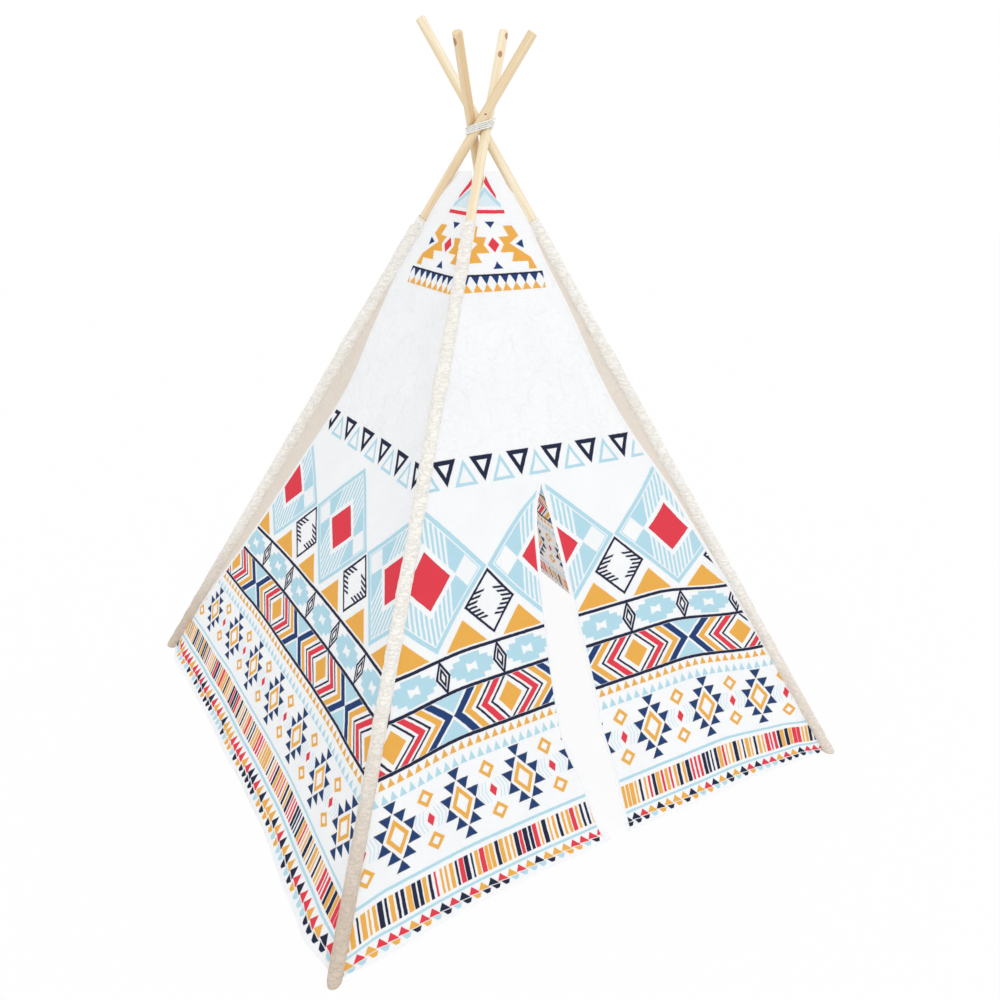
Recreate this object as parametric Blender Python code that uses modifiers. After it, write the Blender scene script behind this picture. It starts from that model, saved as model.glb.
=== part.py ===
"""Square play tepee: four jointed pine poles, cream corner sleeves, printed cloth walls and a slit door.

The poles cross near the top, where a cord ties them. The front and the back pair fold towards
each other about the line through the crossing, each pair held flat by the wall between them.
Metres, +Z up, origin on the floor under the crossing, door facing -Y.
"""

import bmesh
import bpy
from math import atan2, ceil, cos, hypot, pi, radians, sin, sqrt, tan
from mathutils import Matrix, Vector

# Tent
base_side = 1.200  # from pole to pole, where their axes meet the floor
crossing_height = 1.308  # where the poles pivot
gap = 0.0003  # between pieces that touch

# Poles
pole_radius = 0.0095
pole_chamfer = 0.0010
pole_top_run = 0.206  # bare pole above the crossing, of the four on average
pole_top_shifts = {"front_left": 0.010, "front_right": 0.025, "back_right": -0.022, "back_left": -0.013}
lower_joint_run = 0.520  # up the pole, from the floor to the first joint
upper_joint_run = 1.030  # and to the second
tie_hole_radius = 0.0023
tie_hole_run = 0.030  # above the crossing, along the pole
tie_hole_turn = radians(20)
pole_steps = 24

# Metal tubes that join the pole's sections
ferrule_length = 0.058
ferrule_wall = 0.0010
ferrule_fit = 0.0003
ferrule_lip = 0.0012

# Corner sleeves
sleeve_wall = 0.0010
sleeve_fit = 0.0003  # round the metal tubes
sleeve_end = 0.0010
sleeve_top_drop = 0.205  # from the crossing down to the sleeve's cuff
cuff_height = 0.022
cuff_extra = 0.0004
gather_depth = 0.0005
gather_pitch = 0.110
sleeve_steps = 20

# Walls
cloth = 0.0010
hem_height = 0.012
tip_drop = 0.105  # from the crossing down to the walls' tips
tip_width = 0.008
wall_bow = 0.026  # how far the cloth is drawn in between the poles
fold_depth = 0.0035
folds_per_wall = 3
columns_per_wall = 20
rows_below_slit, rows_above_slit, rows_in_tip = 9, 6, 3

# Slit door
slit_length = 0.735  # down the front wall, from the slit's top to the hem
slit_shift = 0.020  # of the slit's top from the middle of the wall
slit_gap = 0.058  # how far the left flap's edge is drawn back
slit_spread = 0.036  # of the right flap's edge at the hem
flap_top_width = 0.010
flap_hem_width = 0.300
seam_gap = 0.0005
flap_columns, flap_rows = 8, 14

# Tie cord
cord_radius = 0.0020
cord_clearance = 0.0006
cord_turns = 4
cord_pitch = 0.0050
cord_start = radians(-62)
cord_tilt_share = 0.36
cord_tilt_azimuth = radians(-31)
cord_tail = 0.020
points_per_turn = 24

# Derived frame
foot_circle = base_side / sqrt(2)
lean = atan2(foot_circle, crossing_height)
pole_run = hypot(foot_circle, crossing_height)
ferrule_radius = pole_radius + ferrule_fit + ferrule_wall
sleeve_bore = ferrule_radius + sleeve_fit
sleeve_radius = sleeve_bore + sleeve_wall
crossing_offset = (2 * pole_radius + gap) * sqrt(2 * cos(lean) ** 2 + sin(lean) ** 2) / (2 * cos(lean))
swing_turn = atan2(crossing_offset, foot_circle)
pocket_floor = -pole_run + sleeve_bore * tan(lean) + sleeve_end / cos(lean)
half_side = base_side / 2
wall_slope = atan2(half_side, crossing_height)
wall_run = hypot(half_side, crossing_height)
edge_offset = sleeve_radius + cuff_extra + gap + cloth / 2  # of the cloth from a pole's axis
hem_share = hem_height / crossing_height
slit_share = hem_share + slit_length / wall_run
cuff_share = 1 - sleeve_top_drop / pole_run
tip_share = 1 - tip_drop / wall_run

corner_azimuths = {
    "front_left": radians(-135),
    "front_right": radians(-45),
    "back_right": radians(45),
    "back_left": radians(135),
}

for old in list(bpy.data.objects):
    bpy.data.objects.remove(old)

tepee = bpy.data.collections.new("play_tepee")
cutters = bpy.data.collections.new("cutters")
for collection in (tepee, cutters):
    bpy.context.scene.collection.children.link(collection)


def finish(name, colour, roughness, metallic=0.0):
    """A plain Principled material."""
    material = bpy.data.materials.new(name)
    material.use_nodes = True
    shader = material.node_tree.nodes["Principled BSDF"]
    shader.inputs["Base Color"].default_value = (*colour, 1)
    shader.inputs["Roughness"].default_value = roughness
    shader.inputs["Metallic"].default_value = metallic
    return material


pine = finish("pine", (0.84, 0.69, 0.45), 0.6)
zinc = finish("zinc_plated_steel", (0.62, 0.63, 0.65), 0.35, 1.0)
ecru = finish("ecru_cotton", (0.90, 0.86, 0.76), 0.9)
print_cloth = finish("printed_cloth", (0.90, 0.91, 0.93), 0.9)
tape = finish("white_cord", (0.93, 0.93, 0.91), 0.8)


def add(name, mesh, material, parent=None):
    """A new object of the tent, on its parent's origin."""
    mesh.name = name
    mesh.materials.append(material)
    part = bpy.data.objects.new(name, mesh)
    part.parent = parent
    tepee.objects.link(part)
    return part


def turned(name, profile, steps, material, parent, closed=False):
    """A form turned about the pole, from (radius, height) points that run down its outer side."""
    mesh = bpy.data.meshes.new(name)
    form = bmesh.new()
    corners = [form.verts.new((radius, 0, height)) for radius, height in profile]
    for first, second in zip(corners, corners[1:]):
        form.edges.new((first, second))
    if closed:
        form.edges.new((corners[-1], corners[0]))
    form.to_mesh(mesh)
    form.free()
    part = add(name, mesh, material, parent)
    screw = part.modifiers.new("turn", "SCREW")
    screw.steps = screw.render_steps = steps
    screw.use_merge_vertices = True
    screw.merge_threshold = gap / 10
    screw.use_smooth_shade = True
    return part


def cut_away(part, cutter, name):
    """Takes the cutter's form out of a part."""
    cut = part.modifiers.new(name, "BOOLEAN")
    cut.operation = "DIFFERENCE"
    cut.solver = "EXACT"
    cut.object = cutter


def as_cutter(cutter, name, parent=None):
    """Keeps a form that only cuts out of the pictures and the part."""
    cutter.name = name
    cutter.parent = parent
    cutter.hide_render = True
    cutter.display_type = "WIRE"
    for home in list(cutter.users_collection):
        home.objects.unlink(cutter)
    cutters.objects.link(cutter)
    return cutter


def section(name, bottom, top, parent):
    """One length of pole, with eased ends."""
    profile = [
        (0, top),
        (pole_radius - pole_chamfer, top),
        (pole_radius, top - pole_chamfer),
        (pole_radius, bottom + pole_chamfer),
        (pole_radius - pole_chamfer, bottom),
        (0, bottom),
    ]
    return turned(name, profile, pole_steps, pine, parent)


def ferrule(name, middle, parent):
    """A metal tube round two sections' ends, with its lips rolled in towards the wood."""
    top, bottom = middle + ferrule_length / 2, middle - ferrule_length / 2
    bore = pole_radius + ferrule_fit
    profile = [
        (bore, top),
        (ferrule_radius - ferrule_wall / 2, top),
        (ferrule_radius, top - ferrule_lip),
        (ferrule_radius, bottom + ferrule_lip),
        (ferrule_radius - ferrule_wall / 2, bottom),
        (bore, bottom),
    ]
    return turned(name, profile, pole_steps, zinc, parent, closed=True)


def sleeve(name, parent):
    """A long cloth pocket: closed and pressed flat at the foot, gathered, and cuffed at the top."""
    top = -sleeve_top_drop
    cuff_bottom = top - cuff_height
    outer = sleeve_radius + cuff_extra
    bottom = -pole_run - outer * tan(lean) - sleeve_end
    profile = [
        (0, pocket_floor),
        (sleeve_bore, pocket_floor),
        (sleeve_bore, top),
        (outer, top),
        (outer, cuff_bottom),
        (sleeve_radius, cuff_bottom - cuff_extra),
    ]
    first, last = cuff_bottom - gather_pitch / 2, pocket_floor
    halves = 2 * ceil((first - last) / gather_pitch)
    for count in range(halves + 1):
        height = first + (last - first) * count / halves
        profile.append((sleeve_radius - (gather_depth if count % 2 else 0), height))
    profile += [(sleeve_radius, bottom), (0, bottom)]
    part = turned(name, profile, sleeve_steps, ecru, parent)
    cut_away(part, ground, "pressed_flat")
    return part


def swing_axes(corner):
    """Outward, sideways and upward directions of a pole's swing plane."""
    azimuth = corner_azimuths[corner] - swing_turn
    outward = Vector((cos(azimuth), sin(azimuth), 0))
    return outward, Vector((-sin(azimuth), cos(azimuth), 0)), Vector((0, 0, 1))


def pivot(corner):
    """The point in the crossing that a pole swings about."""
    outward, sideways, up = swing_axes(corner)
    return sideways * crossing_offset + up * crossing_height


def on_axis(corner, share):
    """A point on a pole's axis, from the floor (0) to its pivot (1)."""
    outward, sideways, up = swing_axes(corner)
    foot = outward * foot_circle + sideways * crossing_offset
    return foot.lerp(pivot(corner), share)


# The floor's own form, which the sleeves' feet are pressed flat on
bpy.ops.mesh.primitive_cube_add(size=1, location=(0, 0, -hem_height))
ground = bpy.context.object
ground.dimensions = (base_side + 4 * sleeve_radius, base_side + 4 * sleeve_radius, 2 * hem_height)
bpy.ops.object.transform_apply(location=False, rotation=False, scale=True)
as_cutter(ground, "ground")

# The line that the front and the back pair fold about runs along X through the crossing
folds = {}
for pair in ("front", "back"):
    folds[pair] = bpy.data.objects.new("fold_line_" + pair, None)
    folds[pair].location = (0, 0, crossing_height)
    folds[pair].empty_display_size = pole_radius
    tepee.objects.link(folds[pair])

# Four poles, each on an empty at its place in the crossing
for corner in corner_azimuths:
    outward, sideways, up = swing_axes(corner)
    hinge = bpy.data.objects.new("crossing_" + corner, None)
    hinge.empty_display_size = pole_radius
    hinge.parent = folds[corner.split("_")[0]]
    tilt = Matrix((outward, sideways, up)).transposed() @ Matrix.Rotation(-lean, 3, "Y")
    hinge.matrix_basis = Matrix.Translation(pivot(corner) - hinge.parent.location) @ tilt.to_4x4()
    tepee.objects.link(hinge)
    print("foot_" + corner, tuple(on_axis(corner, 0)))
    low, high = -pole_run + lower_joint_run, -pole_run + upper_joint_run
    section("pole_" + corner + "_lower", pocket_floor + gap, low - gap / 2, hinge)
    section("pole_" + corner + "_middle", low + gap / 2, high - gap / 2, hinge)
    tip = pole_top_run + pole_top_shifts[corner]
    upper = section("pole_" + corner + "_upper", high + gap / 2, tip, hinge)
    ferrule("ferrule_" + corner + "_lower", low, hinge)
    ferrule("ferrule_" + corner + "_upper", high, hinge)
    sleeve("sleeve_" + corner, hinge)
    bpy.ops.mesh.primitive_cylinder_add(
        vertices=12,
        radius=tie_hole_radius,
        depth=4 * pole_radius,
        location=(0, 0, tie_hole_run),
        rotation=(pi / 2, 0, tie_hole_turn),
    )
    cut_away(upper, as_cutter(bpy.context.object, "drill_" + corner, hinge), "tie_hole")


def wall_face(corner):
    """The outward direction of the wall that runs on from a corner, counter-clockwise."""
    azimuth = corner_azimuths[corner] + pi / 4
    return Vector((cos(azimuth) * cos(wall_slope), sin(azimuth) * cos(wall_slope), sin(wall_slope)))


def wall_point(left, right, across, share, outside=False):
    """A point of the cloth between two poles: across from 0 to 1, share from the floor to the crossing.

    Cloth outside the sleeves lies clear of them as they swing past behind it.
    """
    start, end = on_axis(left, share), on_axis(right, share)
    face = wall_face(left)
    stand_off = -(wall_bow * 4 * across * (1 - across)) * (1 - share)
    if outside:
        end += face * (start - end).dot(face)
        stand_off -= fold_depth * sin(2 * pi * folds_per_wall * across) * (1 - share)
        stand_off += edge_offset + gap
    else:
        start += swing_axes(left)[1] * edge_offset
        end -= swing_axes(right)[1] * edge_offset
    return start.lerp(end, across) + face * stand_off


def level(row):
    """The height of a row of the grid, as a share: rows stop at the slit's top and at the sleeves' cuffs."""
    stops = [(rows_below_slit, hem_share, slit_share)]
    stops += [(rows_above_slit, slit_share, cuff_share), (rows_in_tip, cuff_share, tip_share)]
    for count, low, high in stops:
        if row <= count:
            return low + (high - low) * row / count
        row -= count
    return tip_share


def tapered(across, share):
    """Narrows the cloth above the cuffs to the width of its tip."""
    tip = tip_width / (base_side * (1 - tip_share))
    rise = max(0, share - cuff_share) / (tip_share - cuff_share)
    return 0.5 + (across - 0.5) * (1 + (tip - 1) * rise)


def sheet(name, place, columns, rows, left_out=None, parent=None, origin=None):
    """Cloth of even thickness over a grid, whose points place(column, row) puts on the wall."""
    mesh = bpy.data.meshes.new(name)
    form = bmesh.new()
    home = origin or (parent.location if parent else Vector())
    bmesh.ops.create_grid(form, x_segments=columns, y_segments=rows, size=0.5)
    if left_out:
        centres = [(face, face.calc_center_median()) for face in form.faces]
        away = [face for face, at in centres if left_out((at.x + 0.5) * columns, (at.y + 0.5) * rows)]
        bmesh.ops.delete(form, geom=away, context="FACES")
    for vert in form.verts:
        vert.co = place((vert.co.x + 0.5) * columns, (vert.co.y + 0.5) * rows) - home
    form.to_mesh(mesh)
    form.free()
    mesh.shade_smooth()
    part = add(name, mesh, print_cloth, parent)
    part.location = home - (parent.location if parent else Vector())
    solid = part.modifiers.new("cloth", "SOLIDIFY")
    solid.thickness = cloth
    solid.offset = 0
    solid.use_even_offset = True
    return part


all_rows = rows_below_slit + rows_above_slit + rows_in_tip

# The side walls, which the two pairs of poles fold between, and the back wall
for name, left, right, outside, parent in (
    ("wall_left", "back_left", "front_left", True, None),
    ("wall_right", "front_right", "back_right", True, None),
    ("wall_back", "back_right", "back_left", False, folds["back"]),
):

    def whole(column, row, left=left, right=right, outside=outside):
        """A point of a wall without a door."""
        share = level(row)
        return wall_point(left, right, tapered(column / columns_per_wall, share), share, outside)

    sheet(name, whole, columns_per_wall, all_rows, parent=parent)


def front_point(x, share):
    """A point of the front wall, x metres to the right of its middle."""
    return wall_point("front_left", "front_right", 0.5 + x / (base_side * (1 - share)), share)


def down_slit(share):
    """How far down the slit a level lies, from its top (0) to the hem (1)."""
    return (slit_share - share) / (slit_share - hem_share)


def fold_line(share, side):
    """Where a flap folds back: straight from beside the slit's top to the hem."""
    top = -slit_shift + side * flap_top_width
    return top + (side * flap_hem_width - top) * down_slit(share)


def slit_edge(share, side):
    """The free edge of a flap."""
    down = down_slit(share)
    if side < 0:
        return -slit_shift - seam_gap / 2 - slit_gap * sin(pi * down)
    return -slit_shift + seam_gap / 2 + slit_spread * down


side_columns = columns_per_wall // 2 - 1


def front(column, row):
    """A point of the front wall: its columns stop at the two fold lines."""
    share = level(row)
    edges = [fold_line(min(share, slit_share), side) + side * seam_gap for side in (-1, 1)]
    width = base_side * (1 - min(share, slit_share))
    low, high = (0.5 + edge / width for edge in edges)
    if column <= side_columns:
        across = low * column / side_columns
    elif column < columns_per_wall - side_columns:
        across = low + (high - low) * (column - side_columns) / (columns_per_wall - 2 * side_columns)
    else:
        across = high + (1 - high) * (1 - (columns_per_wall - column) / side_columns)
    return wall_point("front_left", "front_right", tapered(across, share), share)


def doorway(column, row):
    """True where the flaps, not the wall, fill the grid."""
    return row < rows_below_slit and side_columns < column < columns_per_wall - side_columns


sheet("wall_front", front, columns_per_wall, all_rows, left_out=doorway, parent=folds["front"])

for side, word in ((-1, "left"), (1, "right")):

    def flap(column, row, side=side):
        """A point between the slit and the fold line, below the slit's top."""
        bottom, top = hem_share, slit_share - 2 * seam_gap / wall_run
        share = bottom + (top - bottom) * row / flap_rows
        near, far = sorted((fold_line(share, side), slit_edge(share, side)))
        return front_point(near + (far - near) * column / flap_columns, share)

    # The hinge line lies just outside the cloth, so that the flap swings out past the wall's edge
    lift = wall_face("front_left") * 2 * cloth
    head = front_point(fold_line(slit_share, side), slit_share) + lift
    foot = front_point(fold_line(hem_share, side), hem_share) + lift
    middle = head.lerp(foot, 0.5)
    sheet("door_flap_" + word, flap, flap_columns, flap_rows, parent=folds["front"], origin=middle)
    print("door_flap_" + word, "at", tuple(middle), "axis", tuple((head - foot).normalized()))


def bundle_reach(azimuth, height):
    """How far the poles reach in a direction, at a height above the crossing."""
    towards = Vector((cos(azimuth), sin(azimuth), 0))
    reach = 0
    for corner in corner_azimuths:
        outward, sideways, up = swing_axes(corner)
        centre = sideways * crossing_offset - outward * height * tan(lean)
        width = hypot(pole_radius / cos(lean) * outward.dot(towards), pole_radius * sideways.dot(towards))
        reach = max(reach, centre.dot(towards) + width)
    return reach


def wound(azimuth, climb):
    """A point of the cord on the bundle, its turns lying on a tilted plane."""
    towards = Vector((cos(azimuth), sin(azimuth), 0))
    along = Vector((-sin(azimuth), cos(azimuth), 0))
    tilt_way = Vector((cos(cord_tilt_azimuth), sin(cord_tilt_azimuth), 0))
    small = pi / points_per_turn / 10
    height = climb
    for _ in range(5):
        bend = (bundle_reach(azimuth + small, height) - bundle_reach(azimuth - small, height)) / (2 * small)
        out = bundle_reach(azimuth, height) + (cord_radius + cord_clearance) / cos(lean)
        place = towards * out + along * bend
        height = climb + cord_tilt_share * place.dot(tilt_way)
    return place + Vector((0, 0, crossing_height + height))


def cord_path():
    """The cord's whole length in even steps, with its two ends running on straight."""
    fine = 15 * points_per_turn
    climbs = [(count / fine - cord_turns / 2) * cord_pitch for count in range(cord_turns * fine + 1)]
    line = [wound(cord_start + 2 * pi * count / fine, climb) for count, climb in enumerate(climbs)]
    lengths = [0]
    for first, second in zip(line, line[1:]):
        lengths.append(lengths[-1] + (second - first).length)
    total = cord_turns * points_per_turn
    points, reached = [], 0
    for count in range(total + 1):
        goal = lengths[-1] * count / total
        while reached < len(lengths) - 2 and lengths[reached + 1] < goal:
            reached += 1
        share = (goal - lengths[reached]) / (lengths[reached + 1] - lengths[reached])
        points.append(line[reached].lerp(line[reached + 1], share))
    head = (points[0] - points[1]).normalized() * 2 * cord_radius
    tail = (points[-1] - points[-2]).normalized() * cord_tail
    return [points[0] + head] + points + [points[-1] + tail / 2, points[-1] + tail]


def least_gap(points):
    """The least clearance between two turns of the cord, measured between its points."""
    nearest = base_side
    for count, point in enumerate(points):
        for other in points[count + points_per_turn // 2 :]:
            nearest = min(nearest, (point - other).length)
    return nearest - 2 * cord_radius


turns = cord_path()
print("least gap between the cord's turns:", least_gap(turns))
print("cord length:", sum((second - first).length for first, second in zip(turns, turns[1:])))
line = bpy.data.curves.new("tie_cord", "CURVE")
line.dimensions = "3D"
line.bevel_depth = cord_radius
line.bevel_resolution = 1
line.use_fill_caps = True
path = line.splines.new("POLY")
path.points.add(len(turns) - 1)
for point, place in zip(path.points, turns):
    point.co = (*place, 1)
line.materials.append(tape)
cord = bpy.data.objects.new("tie_cord", line)
tepee.objects.link(cord)
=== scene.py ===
"""Dressed model of a child's square play tepee.

Four jointed pine poles cross and are tied near the top. Each stands in a cream cotton sleeve
along a corner, and printed cotton walls hang between them, the front one with a slit door.
Metres, +Z up, origin on the floor under the crossing, door facing -Y.
"""

import logging
from bisect import bisect_right
from dataclasses import dataclass
from enum import Enum
from math import atan2, cos, hypot, pi, radians, sin, sqrt, tan
from typing import Any, Callable, Sequence

import bpy
from bpy.types import Material, Node, NodeSocket, Object
from mathutils import Matrix, Vector, noise


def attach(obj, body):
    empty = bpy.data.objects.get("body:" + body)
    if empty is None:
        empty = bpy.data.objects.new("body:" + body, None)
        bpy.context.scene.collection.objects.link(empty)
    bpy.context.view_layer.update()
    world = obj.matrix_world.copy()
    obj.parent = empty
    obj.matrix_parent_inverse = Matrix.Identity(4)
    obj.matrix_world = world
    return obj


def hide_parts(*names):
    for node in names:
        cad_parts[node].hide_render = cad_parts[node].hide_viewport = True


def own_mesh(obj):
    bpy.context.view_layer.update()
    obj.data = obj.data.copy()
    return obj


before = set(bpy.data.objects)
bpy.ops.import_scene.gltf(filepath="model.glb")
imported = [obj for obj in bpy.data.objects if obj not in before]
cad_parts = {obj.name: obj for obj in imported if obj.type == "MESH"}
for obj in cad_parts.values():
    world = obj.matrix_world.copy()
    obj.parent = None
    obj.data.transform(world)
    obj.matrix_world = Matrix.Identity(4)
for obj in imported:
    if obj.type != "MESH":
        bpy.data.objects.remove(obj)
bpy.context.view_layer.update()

log = logging.getLogger("tepee")

Triple = tuple[float, float, float]
Colour = Triple
Curve = tuple[tuple[float, float], ...]


def srgb(red: float, green: float, blue: float) -> Colour:
    """A display colour from 0 to 255 as the linear colour that a shader takes."""
    return tuple(
        (part / 12.92 if part <= 0.04045 else ((part + 0.055) / 1.055) ** 2.4)
        for part in (red / 255, green / 255, blue / 255)
    )


def eased(value: float) -> float:
    """A smooth step from 0 to 1."""
    value = min(1.0, max(0.0, value))
    return value * value * (3 - 2 * value)


def along(points: Curve | list[tuple[float, float]], at: float) -> float:
    """A smooth line through points.

    Args:
        points: Places and values, with rising places.
        at: Where the line is read.

    Returns:
        The value there, level before the first point and after the last one.
    """
    places = [place for place, _ in points]
    if at <= places[0]:
        return points[0][1]
    if at >= places[-1]:
        return points[-1][1]
    last = bisect_right(places, at)
    (low, start), (high, end) = points[last - 1], points[last]
    before = points[last - 2] if last > 1 else points[last - 1]
    after = points[last + 1] if last + 1 < len(points) else points[last]
    span = high - low
    leave = (end - before[1]) / (high - before[0]) * span
    arrive = (after[1] - start) / (after[0] - low) * span
    share = (at - low) / span
    square, cube = share * share, share**3
    return (
        (2 * cube - 3 * square + 1) * start
        + (cube - 2 * square + share) * leave
        + (3 * square - 2 * cube) * end
        + (cube - square) * arrive
    )


def wobble(x: float, y: float, z: float) -> float:
    """Smooth noise at a point."""
    return noise.noise(Vector((x, y, z)))


def runs(points: Sequence[Vector]) -> list[float]:
    """How far each point lies along the line through all of them."""
    lengths = [0.0]
    for first, second in zip(points, points[1:]):
        lengths.append(lengths[-1] + (second - first).length)
    return lengths


def band(first: int, second: int, sides: int) -> list[tuple[int, ...]]:
    """The faces between two loops of points, from the number of each loop's first point."""
    return [
        (first + side, first + after, second + after, second + side)
        for side, after in ((side, (side + 1) % sides) for side in range(sides))
    ]


def add_mesh(
    name: str,
    points: Sequence[Sequence[float]],
    faces: Sequence[tuple[int, ...]],
    finishes: Sequence[Material],
    sharp: float | None = None,
) -> Object:
    """Adds a smooth mesh to the scene.

    Args:
        name: The object's name.
        points: Where its points are.
        faces: The points of each face.
        finishes: Its materials.
        sharp: Degrees beyond which an edge stays sharp.

    Returns:
        The object.
    """
    mesh = bpy.data.meshes.new(name)
    mesh.from_pydata([tuple(point) for point in points], [], faces)
    mesh.polygons.foreach_set("use_smooth", [True] * len(faces))
    for finish in finishes:
        mesh.materials.append(finish)
    if sharp is not None:
        mesh.set_sharp_from_angle(angle=radians(sharp))
    mesh.update()
    piece = bpy.data.objects.new(name, mesh)
    bpy.context.scene.collection.objects.link(piece)
    return piece


# ---------------------------------------------------------------- shader maths


def operator(operation: str, swapped: bool = False) -> Callable[..., "Value"]:
    """A Python operator that adds a Math node.

    Args:
        operation: The node's operation.
        swapped: True where the other value comes first.

    Returns:
        A method for the class below.
    """

    def act(value: "Value", *other: Any) -> "Value":
        """Adds the node."""
        return value.graph.math(operation, *((*other, value) if swapped else (value, *other)))

    return act


class Value:
    """A number that changes over a surface, worked out with Math nodes."""

    def __init__(self, graph: "Graph", socket: NodeSocket) -> None:
        """Wraps a socket of the graph."""
        self.graph = graph
        self.socket = socket

    def math(self, operation: str, *others: Any, clamp: bool = False) -> "Value":
        """A Math node whose first value is this one."""
        return self.graph.math(operation, self, *others, clamp=clamp)

    __add__ = __radd__ = operator("ADD")
    __mul__ = __rmul__ = operator("MULTIPLY")
    __sub__ = operator("SUBTRACT")
    __rsub__ = operator("SUBTRACT", swapped=True)
    __truediv__ = operator("DIVIDE")
    __and__ = operator("MINIMUM")  # where both are
    __or__ = operator("MAXIMUM")  # where either is
    __abs__ = operator("ABSOLUTE")
    __lt__ = operator("LESS_THAN")
    __gt__ = operator("GREATER_THAN")

    def fit(self, scale: float, offset: float) -> "Value":
        """Scaled and moved, in one node."""
        return self.math("MULTIPLY_ADD", scale, offset)

    def share(self, scale: float, offset: float) -> "Value":
        """Scaled and moved, and kept between 0 and 1."""
        return self.math("MULTIPLY_ADD", scale, offset, clamp=True)

    def mirrored(self, period: float, centre: float = 0.0) -> "Value":
        """Distance from the nearest of the centres that lie a period apart."""
        moved = self - centre if centre else self
        return moved.math("PINGPONG", period / 2)

    def repeated(self, period: float, centre: float = 0.0) -> "Value":
        """Place relative to the nearest of the centres that lie a period apart."""
        moved = self - centre if centre else self
        return moved.math("WRAP", period / 2, -period / 2)

    def numbered(self, period: float, centre: float = 0.0) -> "Value":
        """The number of the period that a place lies in."""
        return self.fit(1 / period, 0.5 - centre / period).math("FLOOR")


class Graph:
    """The nodes of one material, or of the world."""

    def __init__(self, name: str, world: bool = False) -> None:
        """A new material with its Principled shader, or a world with its background."""
        self.block = (bpy.data.worlds if world else bpy.data.materials).new(name)
        self.block.use_nodes = True
        self.tree = self.block.node_tree
        self.shader = self.tree.nodes["Background" if world else "Principled BSDF"]
        self.out = self.tree.nodes["World Output" if world else "Material Output"]
        self.count = 0

    def node(
        self,
        kind: str,
        settings: dict[str, Any] | None = None,
        inputs: dict[Any, Any] | None = None,
    ) -> Node:
        """Adds any node.

        Args:
            kind: The node's type, without its prefix.
            settings: Its own settings, set first. "stops" are a ramp's places and colours.
            inputs: Values or links of its sockets, by name or number.

        Returns:
            The node.
        """
        node = self.tree.nodes.new("ShaderNode" + kind)
        self.count += 1
        node.location = (-180 * (self.count % 40), -160 * (self.count // 40))
        for name, value in (settings or {}).items():
            if name == "stops":
                self.set_stops(node, value)
            else:
                setattr(node, name, value)
        for name, value in (inputs or {}).items():
            self.feed(node.inputs[name], value)
        return node

    @staticmethod
    def set_stops(node: Node, stops: Sequence[tuple[float, Any]]) -> None:
        """Gives a ramp its stops: places with a colour or a grey number."""
        elements = node.color_ramp.elements
        while len(elements) < len(stops):
            elements.new(1.0)
        for element, (place, colour) in zip(elements, stops):
            element.position = place
            colour = colour if isinstance(colour, tuple) else (colour,) * 3
            element.color = (*colour, 1.0)

    def feed(self, socket: NodeSocket, value: Any) -> None:
        """Sets a socket, or links it to a value, socket or colour."""
        if isinstance(value, Value):
            value = value.socket
        if isinstance(value, NodeSocket):
            self.tree.links.new(value, socket)
        elif isinstance(value, tuple) and len(value) == 3 and socket.type == "RGBA":
            socket.default_value = (*value, 1.0)
        else:
            socket.default_value = value

    def math(self, operation: str, *values: Any, clamp: bool = False) -> Value:
        """A Math node on up to three values."""
        node = self.node(
            "Math", {"operation": operation, "use_clamp": clamp}, dict(enumerate(values))
        )
        return Value(self, node.outputs[0])

    def parts(self, vector: NodeSocket) -> list[Value]:
        """The three numbers of a vector."""
        node = self.node("SeparateXYZ", None, {0: vector})
        return [Value(self, socket) for socket in node.outputs]

    def joined(self, x: Any, y: Any, z: Any = 0.0) -> NodeSocket:
        """A vector from three numbers."""
        return self.node("CombineXYZ", None, {0: x, 1: y, 2: z}).outputs[0]

    def attribute(self, name: str) -> NodeSocket:
        """A vector that the mesh carries."""
        return self.node("Attribute", {"attribute_name": name}).outputs["Vector"]

    def place(self) -> NodeSocket:
        """The point on the object, in metres."""
        return self.node("TexCoord").outputs["Object"]

    def mix(self, share: Any, first: Any, second: Any) -> NodeSocket:
        """A colour between two."""
        inputs = {"Factor": share, 6: first, 7: second}  # 6 and 7 are its two colours
        return self.node("Mix", {"data_type": "RGBA"}, inputs).outputs[2]

    def grain(
        self, vector: Any, scale: float | Triple, detail: float = 2.0, rough: float = 0.5
    ) -> Value:
        """Smooth noise about 0.5, its scale the same all round or one for each direction."""
        if isinstance(scale, tuple):
            vector, scale = self.scaled(vector, scale), 1.0
        inputs = {"Vector": vector, "Scale": scale, "Detail": detail, "Roughness": rough}
        return Value(self, self.node("TexNoise", None, inputs).outputs[0])

    def chance(self, number: Value) -> list[Value]:
        """Three chance numbers that belong to a whole number."""
        node = self.node("TexWhiteNoise", {"noise_dimensions": "1D"}, {"W": number})
        return self.parts(node.outputs["Color"])

    def scaled(self, vector: NodeSocket, factors: Triple) -> NodeSocket:
        """A vector with each part multiplied."""
        inputs = {0: vector, 1: factors}
        return self.node("VectorMath", {"operation": "MULTIPLY"}, inputs).outputs[0]

    def bump(self, height: Value, strength: float, distance: float, under: Any = None) -> Any:
        """A normal from a height, on top of another bump."""
        inputs = {"Height": height, "Strength": strength, "Distance": distance}
        if under is not None:
            inputs["Normal"] = under
        return self.node("Bump", None, inputs).outputs[0]

    def finish(self, **sockets: Any) -> Material:
        """Feeds the shader's sockets, their names written with underscores."""
        for name, value in sockets.items():
            self.feed(self.shader.inputs[name.replace("_", " ")], value)
        return self.block

    def blend(self, share: Any, other: Node) -> Material:
        """Mixes a share of another shader into the output."""
        inputs = {0: share, 1: self.shader.outputs[0], 2: other.outputs[0]}
        self.feed(self.out.inputs["Surface"], self.node("MixShader", None, inputs).outputs[0])
        return self.block

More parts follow.
